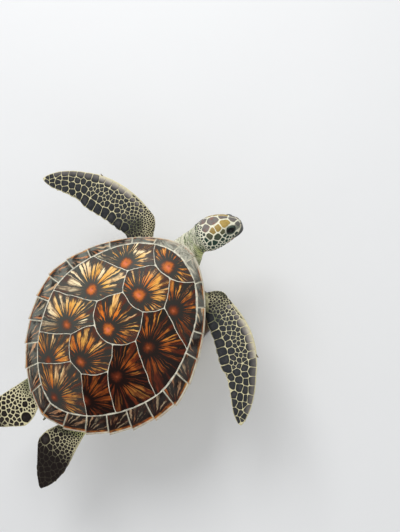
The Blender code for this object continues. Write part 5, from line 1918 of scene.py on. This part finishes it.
class TURTLE_OT_beak(bpy.types.Operator):
    """Makes the horn of the upper and lower beak, with the nostrils"""

    bl_idname = "turtle.beak"
    bl_label = "Beak"

    def execute(self, context):
        tree = BVHTree.FromObject(bpy.data.objects["skin"], context.evaluated_depsgraph_get())
        material = beak_finish(context.scene.turtle_scales)
        forward, left, up = HEAD_AXES
        turns = np.radians(np.linspace(-74, 74, 141))
        for name, upper in (("upper_beak_horn", True), ("lower_beak_horn", False)):
            outer, inner, pits, shares = [], [], [], []
            for share in np.linspace(0, 1, 42):
                for turn in turns:
                    side = abs(turn) / turns[-1]
                    low, high = (-0.0006, self.top(side)) if upper else (-0.0012 - 0.014 * (1 - side**2), -0.0012)
                    height = low + (high - low) * share
                    back = HEAD_LENGTH * 0.34
                    rise = MOUTH_HEIGHT - back * 0.0875 + height
                    centre = head_point(back, 0, rise)
                    aim = (forward + up * 0.0875) * math.cos(turn) + left * math.sin(turn)
                    place, normal, _, _ = tree.ray_cast(centre, aim.normalized())
                    edge = min(1.0, min(share, 1 - share) * 9, (1 - side) * 9)
                    pit = float(nostril(np.array([place]))[0]) if upper else 0.0
                    outer.append(place + normal * 0.00075 * math.sqrt(max(edge, 0.0)))
                    inner.append(place - normal * 0.0010)
                    pits.append(pit)
                    shares.append(share if upper else 1 - share)
            shape = (-1, len(turns), 3)
            obj = sheet(name, np.array(outer).reshape(shape), np.array(inner).reshape(shape), material)
            paint(obj, "pit", pits * 2)
            paint(obj, "share", shares * 2)
            settle(obj, "beak", "upper_beak" if upper else "lower_jaw")
        return {"FINISHED"}

    def top(self, side):
        """Height of the upper beak's rear edge above the mouth, highest over the nostrils."""
        return 0.0125 + 0.0215 * (1 - float(step_up(side, 0.10, 0.62))) - 0.006 * side


@finish("Claw")
def claw_finish(board, settings):
    share = board.attribute("share")
    grain = board.grain(board.place(), 260.0)
    tone = (grain["Tone"] * 0.4 + share).rise(0.35, 1.1)
    colour = (tone * 0.3).between(settings.umber, settings.amber)
    return board.surface(colour, grain["Fine"].rise(0.3, 0.7, 0.2, 0.35), grain["Height"], 0.0002)


class TURTLE_OT_claws(bpy.types.Operator):
    """Makes the small curved claws"""

    bl_idname = "turtle.claws"
    bl_label = "Claws"

    def execute(self, context):
        material = claw_finish(context.scene.turtle_scales)
        for limb in ("front", "hind"):
            for side, sign in SIDES.items():
                node = f"{limb}_claw_{side}"
                low, high = (Vector(corner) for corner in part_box(node))
                if limb == "front":
                    along, ahead = flipper_axes(sign)
                    plan = along * 0.92 + ahead * 0.38
                    aim = Vector((sign * plan.x, plan.y, 0))
                    sunk = Vector((sign * ahead.x, ahead.y, 0)) * 0.0016
                else:
                    aim = Vector((sign * 0.5, 0.87, 0))
                    sunk = Vector((sign * 0.0010, 0, 0))
                aim.normalize()
                out = Vector((-aim.y, aim.x, 0)) * (1 if limb == "front" else -1) * sign
                middle, up = (low + high) / 2 - sunk, Vector((0, 0, 0.8))
                rings = []
                for part in np.linspace(0, 1, 22):
                    radius = 0.0026 * (1 - part**1.6) ** 0.8 + 0.00015
                    centre = middle + aim * 0.0125 * (part - 0.55) - out * 0.0022 * part**2
                    rings.append([
                        centre + out * math.cos(turn) * radius + up * math.sin(turn) * radius for turn in turns_of(24)
                    ])
                obj, _ = loft(f"{node}_horn", rings, material)
                paint(obj, "share", [k // 24 / 21 for k in range(22 * 24)] + [0.0, 1.0])
                settle(obj, "claw", node)
        return {"FINISHED"}


# ---- Plastron ----
PLASTRON_JOINTS = [-0.425, -0.370, -0.245, -0.050, 0.125, 0.265, 0.400]
PLASTRON_PAIRS = ["gular", "humeral", "pectoral", "abdominal", "femoral", "anal"]


def plastron_half_width(y):
    """Half the plastron's width at y, in carapace lengths, for an array."""
    middle, reach = -0.0125, 0.4125
    powers = np.where(y < middle, 2.6, 2.2)
    lobe = 0.205 * np.maximum(1 - np.minimum(np.abs(y - middle) / reach, 1) ** powers, 0) ** (1 / powers)
    bridge = 1 - step_up(np.abs(y + 0.01), 0.150, 0.260)
    return lobe + (0.338 - lobe) * bridge


def belly_height(plan):
    """Height of the plastron's underside over plan points, in metres."""
    x, y = shell_place(plan)
    fold = np.maximum(0, (np.abs(x) - 0.190) / 0.148) ** 1.7
    height = -0.182 + 0.045 * (np.abs(y) / 0.43) ** 4 + 0.148 * np.minimum(fold, 1.15)
    return RIM_HEIGHT + height * CARAPACE_LENGTH


@finish("Plastron")
def plastron_finish(board, skin, shell):
    place = board.attribute("growth", "Vector")
    share = board.attribute("share")
    grain = board.grain(place, 60.0)
    rings = board.sum("SINE", grain["Tone"] * 4.0 + share * 60.0)
    dusk = board.mix(0.25, skin.belly, shell.ray_warm)
    colour = grain["Tone"].rise(0.42, 0.68, 0.0, 0.55).between(skin.belly, dusk)
    colour = share.rise(0.93, 1.0, 0.0, 0.35).between(colour, shell.seam_colour)
    height = rings * 0.12 + grain["Height"]
    return board.surface(colour, grain["Fine"].rise(0.3, 0.7, 0.3, 0.45), height, 0.0006, 0.6)


class TURTLE_OT_plastron(bpy.types.Operator):
    """Makes the pale plates of the underside"""

    bl_idname = "turtle.plastron"
    bl_label = "Plastron plates"

    def execute(self, context):
        material = plastron_finish(context.scene.turtle_skin, context.scene.turtle_shell)
        for index, name in enumerate(PLASTRON_PAIRS):
            front, rear = PLASTRON_JOINTS[index], PLASTRON_JOINTS[index + 1]
            for side, sign in SIDES.items():
                outline = self.outline(front, rear) * np.array([sign, 1]) * CARAPACE_LENGTH
                outline = wavered(softened(outline), 0.0009)
                centre = outline.mean(axis=0)
                form = {"up": -1.0, "pillow": 0.0012, "shares": SHORT_SHARES}
                obj = plate(f"plastron_{name}_{side}", outline, centre, belly_height, material, **form)
                tone_plate(obj, index * 3.3 + sign)
                settle(obj, "plastron", "plastron")
        return {"FINISHED"}

    def outline(self, front, rear):
        """Half a band of the underside between two joints that bow to the rear."""
        gap = 0.0014
        ahead_gap, behind_gap = (0.004 if front < -0.42 else gap), (0.004 if rear > 0.39 else gap)
        rows = np.linspace(front + ahead_gap, rear - behind_gap, 26)
        edge = np.column_stack([plastron_half_width(rows) - 0.004, rows])
        edge[:, 1] -= 0.010 * (edge[:, 0] / 0.338) ** 2
        across = np.linspace(0, 1, 14)[1:-1]
        ahead, behind = (
            np.column_stack([gap + (edge[k, 0] - gap) * across, rows[k] + (edge[k, 1] - rows[k]) * across**2])
            for k in (0, -1)
        )
        inner = np.array([[gap, rows[0]], [gap, rows[-1]]])
        return np.concatenate([inner[:1], ahead, edge, behind[::-1], inner[1:]])


# ---- Display stand ----
@finish("Brushed steel", Metallic=1.0)
def steel_finish(board, settings):
    place = board.place()
    brushed = (place * (60.0, 60.0, 1500.0)).noise(1.0, 3.0, 0.6)
    smudge = place.noise(45.0, 3.0, 0.5)
    dull = tuple(channel * 0.8 for channel in settings.steel)
    colour = brushed.between(settings.steel, dull)
    roughness = brushed.rise(0.3, 0.7, 0.2, 0.34) + smudge.rise(0.5, 0.7, 0.0, 0.08)
    return board.surface(colour, roughness, brushed, 0.00005, 0.5)


@finish("Stained walnut", Coat_Weight=0.2, Coat_Roughness=0.25)
def wood_finish(board, settings):
    place = board.place()
    warp = place.noise(5.0, 2.0, 0.5, "Color")
    bent = place * (9.0, 1.1, 9.0) + warp * 0.5
    rings = bent.noise(5.5, 5.0, 0.6)
    pores = (place * (900.0, 45.0, 900.0)).noise(1.0, 2.0, 0.5)
    colour = rings.rise(0.35, 0.65).between(settings.walnut, settings.walnut_dark)
    colour = pores.rise(0.6, 0.72, 0.0, 0.8).between(colour, settings.walnut_dark)
    height = pores * -0.7 + rings
    return board.surface(colour, pores.rise(0.4, 0.7, 0.32, 0.5), height, 0.0003, 0.5)


class TURTLE_OT_stand(bpy.types.Operator):
    """Makes the base of the display stand and its two turned rods"""

    bl_idname = "turtle.stand"
    bl_label = "Display stand"

    def execute(self, context):
        settings = context.scene.turtle_stand
        self.base(settings)
        for place in ("front", "rear"):
            self.rod(f"stand_rod_{place}", settings)
        return {"FINISHED"}

    def base(self, settings):
        low, high = (np.array(corner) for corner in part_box("stand_base"))
        half = (high - low) / 2
        middle = (high + low) / 2
        thick, edge = 2 * half[2], 0.0032
        rings = []
        profile = [(0.0022, 0.0), (0.0006, 0.0006), (0.0, 0.0022)]
        for turn in np.linspace(0, math.pi / 2, 9):
            profile.append((edge * (1 - math.cos(turn)), thick - edge + edge * math.sin(turn)))
        profile += [(0.012, thick), (0.030, thick), (0.060, thick)]
        for inset, height in profile:
            corner = max(0.030 - inset, 0.004)
            ring = []
            for turn in turns_of(128):
                reach = half[:2] - inset - corner
                aim = np.array([math.cos(turn), math.sin(turn)])
                plan = reach * np.sign(aim) * np.minimum(1, np.abs(aim) * 6) + aim * corner
                ring.append((*(middle[:2] + plan), low[2] + height))
            rings.append(ring)
        settle(loft("stand_base_board", rings, wood_finish(settings))[0], "stand_base", "stand_base")

    def rod(self, node, settings):
        low, high = (np.array(corner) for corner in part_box(node))
        middle = (low + high) / 2
        tall = high[2] - low[2]
        foot, pad, shaft, flange = 0.018, 0.014, 0.006, 0.004
        steps = [(foot - 0.0004, 0.0), (foot, 0.0004), (foot, 0.0018)]
        for turn in np.linspace(0.2, 1.57, 6):
            steps.append((foot - 0.0016 * (1 - math.cos(turn)), 0.0018 + 0.0018 * math.sin(turn)))
        for part in np.linspace(0, 1, 9):
            steps.append((shaft + 0.0062 * (1 - part) ** 2.2, flange - 0.0003 + 0.0075 * part))
        top = tall - flange
        steps += [(shaft, part) for part in np.linspace(0.016, top - 0.010, 8)]
        for part in np.linspace(0, 1, 9):
            steps.append((shaft + 0.0046 * part**2.2, top - 0.0075 + 0.0075 * part))
        for turn in np.linspace(0.3, 1.57, 5):
            steps.append((pad - 0.0010 * (1 - math.sin(turn)), top + 0.0004 + 0.0010 * (1 - math.cos(turn))))
        steps += [(pad, tall - 0.0012), (pad - 0.0006, tall - 0.0002), (pad - 0.002, tall)]
        turns = turns_of(64)
        around = np.column_stack([np.cos(turns), np.sin(turns)])
        rings = [np.column_stack([middle[:2] + around * radius, np.full(64, low[2] + up)]) for radius, up in steps]
        settle(loft(f"{node}_turned", rings, steel_finish(settings))[0], "stand_rod", node)


# ---- Studio ----
# The camera's place, in carapace lengths from the carapace's centre, and its directions.
CAMERA_PLACE = (-0.68332, -0.99114, 2.77977)
CAMERA_LOOK = (0.20762, 0.17858, -0.96177)
CAMERA_UP = (0.67799, -0.73500, 0.00989)


@finish("Floor", Roughness=0.8)
def floor_finish(board, settings):
    grain = board.grain(board.place(), 3.0)
    dull = tuple(channel * 0.97 for channel in settings.floor)
    return {"Base Color": grain["Tone"].between(dull, settings.floor)}


class TURTLE_OT_stage(bpy.types.Operator):
    """Makes the plain pale floor, the soft studio lights and the camera"""

    bl_idname = "turtle.stage"
    bl_label = "Stage"

    def execute(self, context):
        settings = context.scene.turtle_stage
        self.floor(settings)
        self.light("Key", (1.5, -1.3, 2.3), 1.7, settings.key_power)
        self.light("Fill", (-1.9, 0.6, 1.7), 2.2, settings.fill_power)
        self.sky(context, settings)
        self.camera(context, settings)
        return {"FINISHED"}

    def floor(self, settings):
        work = bmesh.new()
        bmesh.ops.create_grid(work, x_segments=1, y_segments=1, size=60.0)
        mesh = bpy.data.meshes.new("floor")
        work.to_mesh(mesh)
        work.free()
        mesh.materials.append(floor_finish(settings))
        obj = linked("floor", mesh)
        obj.location.z = -0.0005

    def light(self, name, place, size, power):
        lamp = bpy.data.lights.new(name, "AREA")
        lamp.shape = "DISK"
        lamp.size = size
        lamp.energy = power
        obj = linked(name, lamp)
        obj.location = place
        aim = Vector((0, 0, RIM_HEIGHT)) - Vector(place)
        obj.rotation_euler = aim.to_track_quat("-Z", "Y").to_euler()

    def sky(self, context, settings):
        studio = bpy.data.worlds.new("Studio")
        studio.use_nodes = True
        backdrop = studio.node_tree.nodes["Background"]
        backdrop.inputs["Color"].default_value = (1, 1, 1, 1)
        backdrop.inputs["Strength"].default_value = settings.sky
        context.scene.world = studio
        context.scene.view_settings.view_transform = "Standard"

    def camera(self, context, settings):
        lens = bpy.data.cameras.new("Camera")
        lens.sensor_fit = "VERTICAL"
        lens.angle = settings.lens_angle
        lens.clip_start = 0.01
        obj = linked("Camera", lens)
        back = -Vector(CAMERA_LOOK).normalized()
        right = Vector(CAMERA_UP).cross(back).normalized()
        turn = Matrix((right, back.cross(right), back)).transposed().to_4x4()
        obj.matrix_world = Matrix.Translation(world(CAMERA_PLACE)) @ turn
        context.scene.camera = obj


class TURTLE_PT_panel(bpy.types.Panel):
    """Lists the turtle's pieces and their settings"""

    bl_idname = "TURTLE_PT_panel"
    bl_label = "Green sea turtle"
    bl_space_type = "VIEW_3D"
    bl_region_type = "UI"
    bl_category = "Turtle"

    def draw(self, context):
        for label in SETTINGS:
            group = getattr(context.scene, label)
            box = self.layout.box()
            for name in group.bl_rna.properties.keys():
                if name not in ("rna_type", "name"):
                    box.prop(group, name)
        for operator in PIECES:
            self.layout.operator(operator.bl_idname)


SETTINGS = {
    "turtle_shell": ShellSettings,
    "turtle_skin": SkinSettings,
    "turtle_scales": ScaleSettings,
    "turtle_stand": StandSettings,
    "turtle_stage": StageSettings,
}
PIECES = (
    TURTLE_OT_scutes, TURTLE_OT_rim, TURTLE_OT_seams, TURTLE_OT_skin, TURTLE_OT_head_scales, TURTLE_OT_front_scales,
    TURTLE_OT_hind_scales, TURTLE_OT_eyes, TURTLE_OT_beak, TURTLE_OT_claws, TURTLE_OT_plastron, TURTLE_OT_stand,
    TURTLE_OT_stage,
)


def register():
    for group in SETTINGS.values():
        bpy.utils.register_class(group)
    for name, group in SETTINGS.items():
        setattr(bpy.types.Scene, name, PointerProperty(type=group))
    for piece in (*PIECES, TURTLE_PT_panel):
        bpy.utils.register_class(piece)


def unregister():
    for piece in (TURTLE_PT_panel, *reversed(PIECES)):
        bpy.utils.unregister_class(piece)
    for name, group in SETTINGS.items():
        delattr(bpy.types.Scene, name)
        bpy.utils.unregister_class(group)


def main():
    register()
    for piece in PIECES:
        family, name = piece.bl_idname.split(".")
        getattr(getattr(bpy.ops, family), name)()


if __name__ == "__main__":
    main()
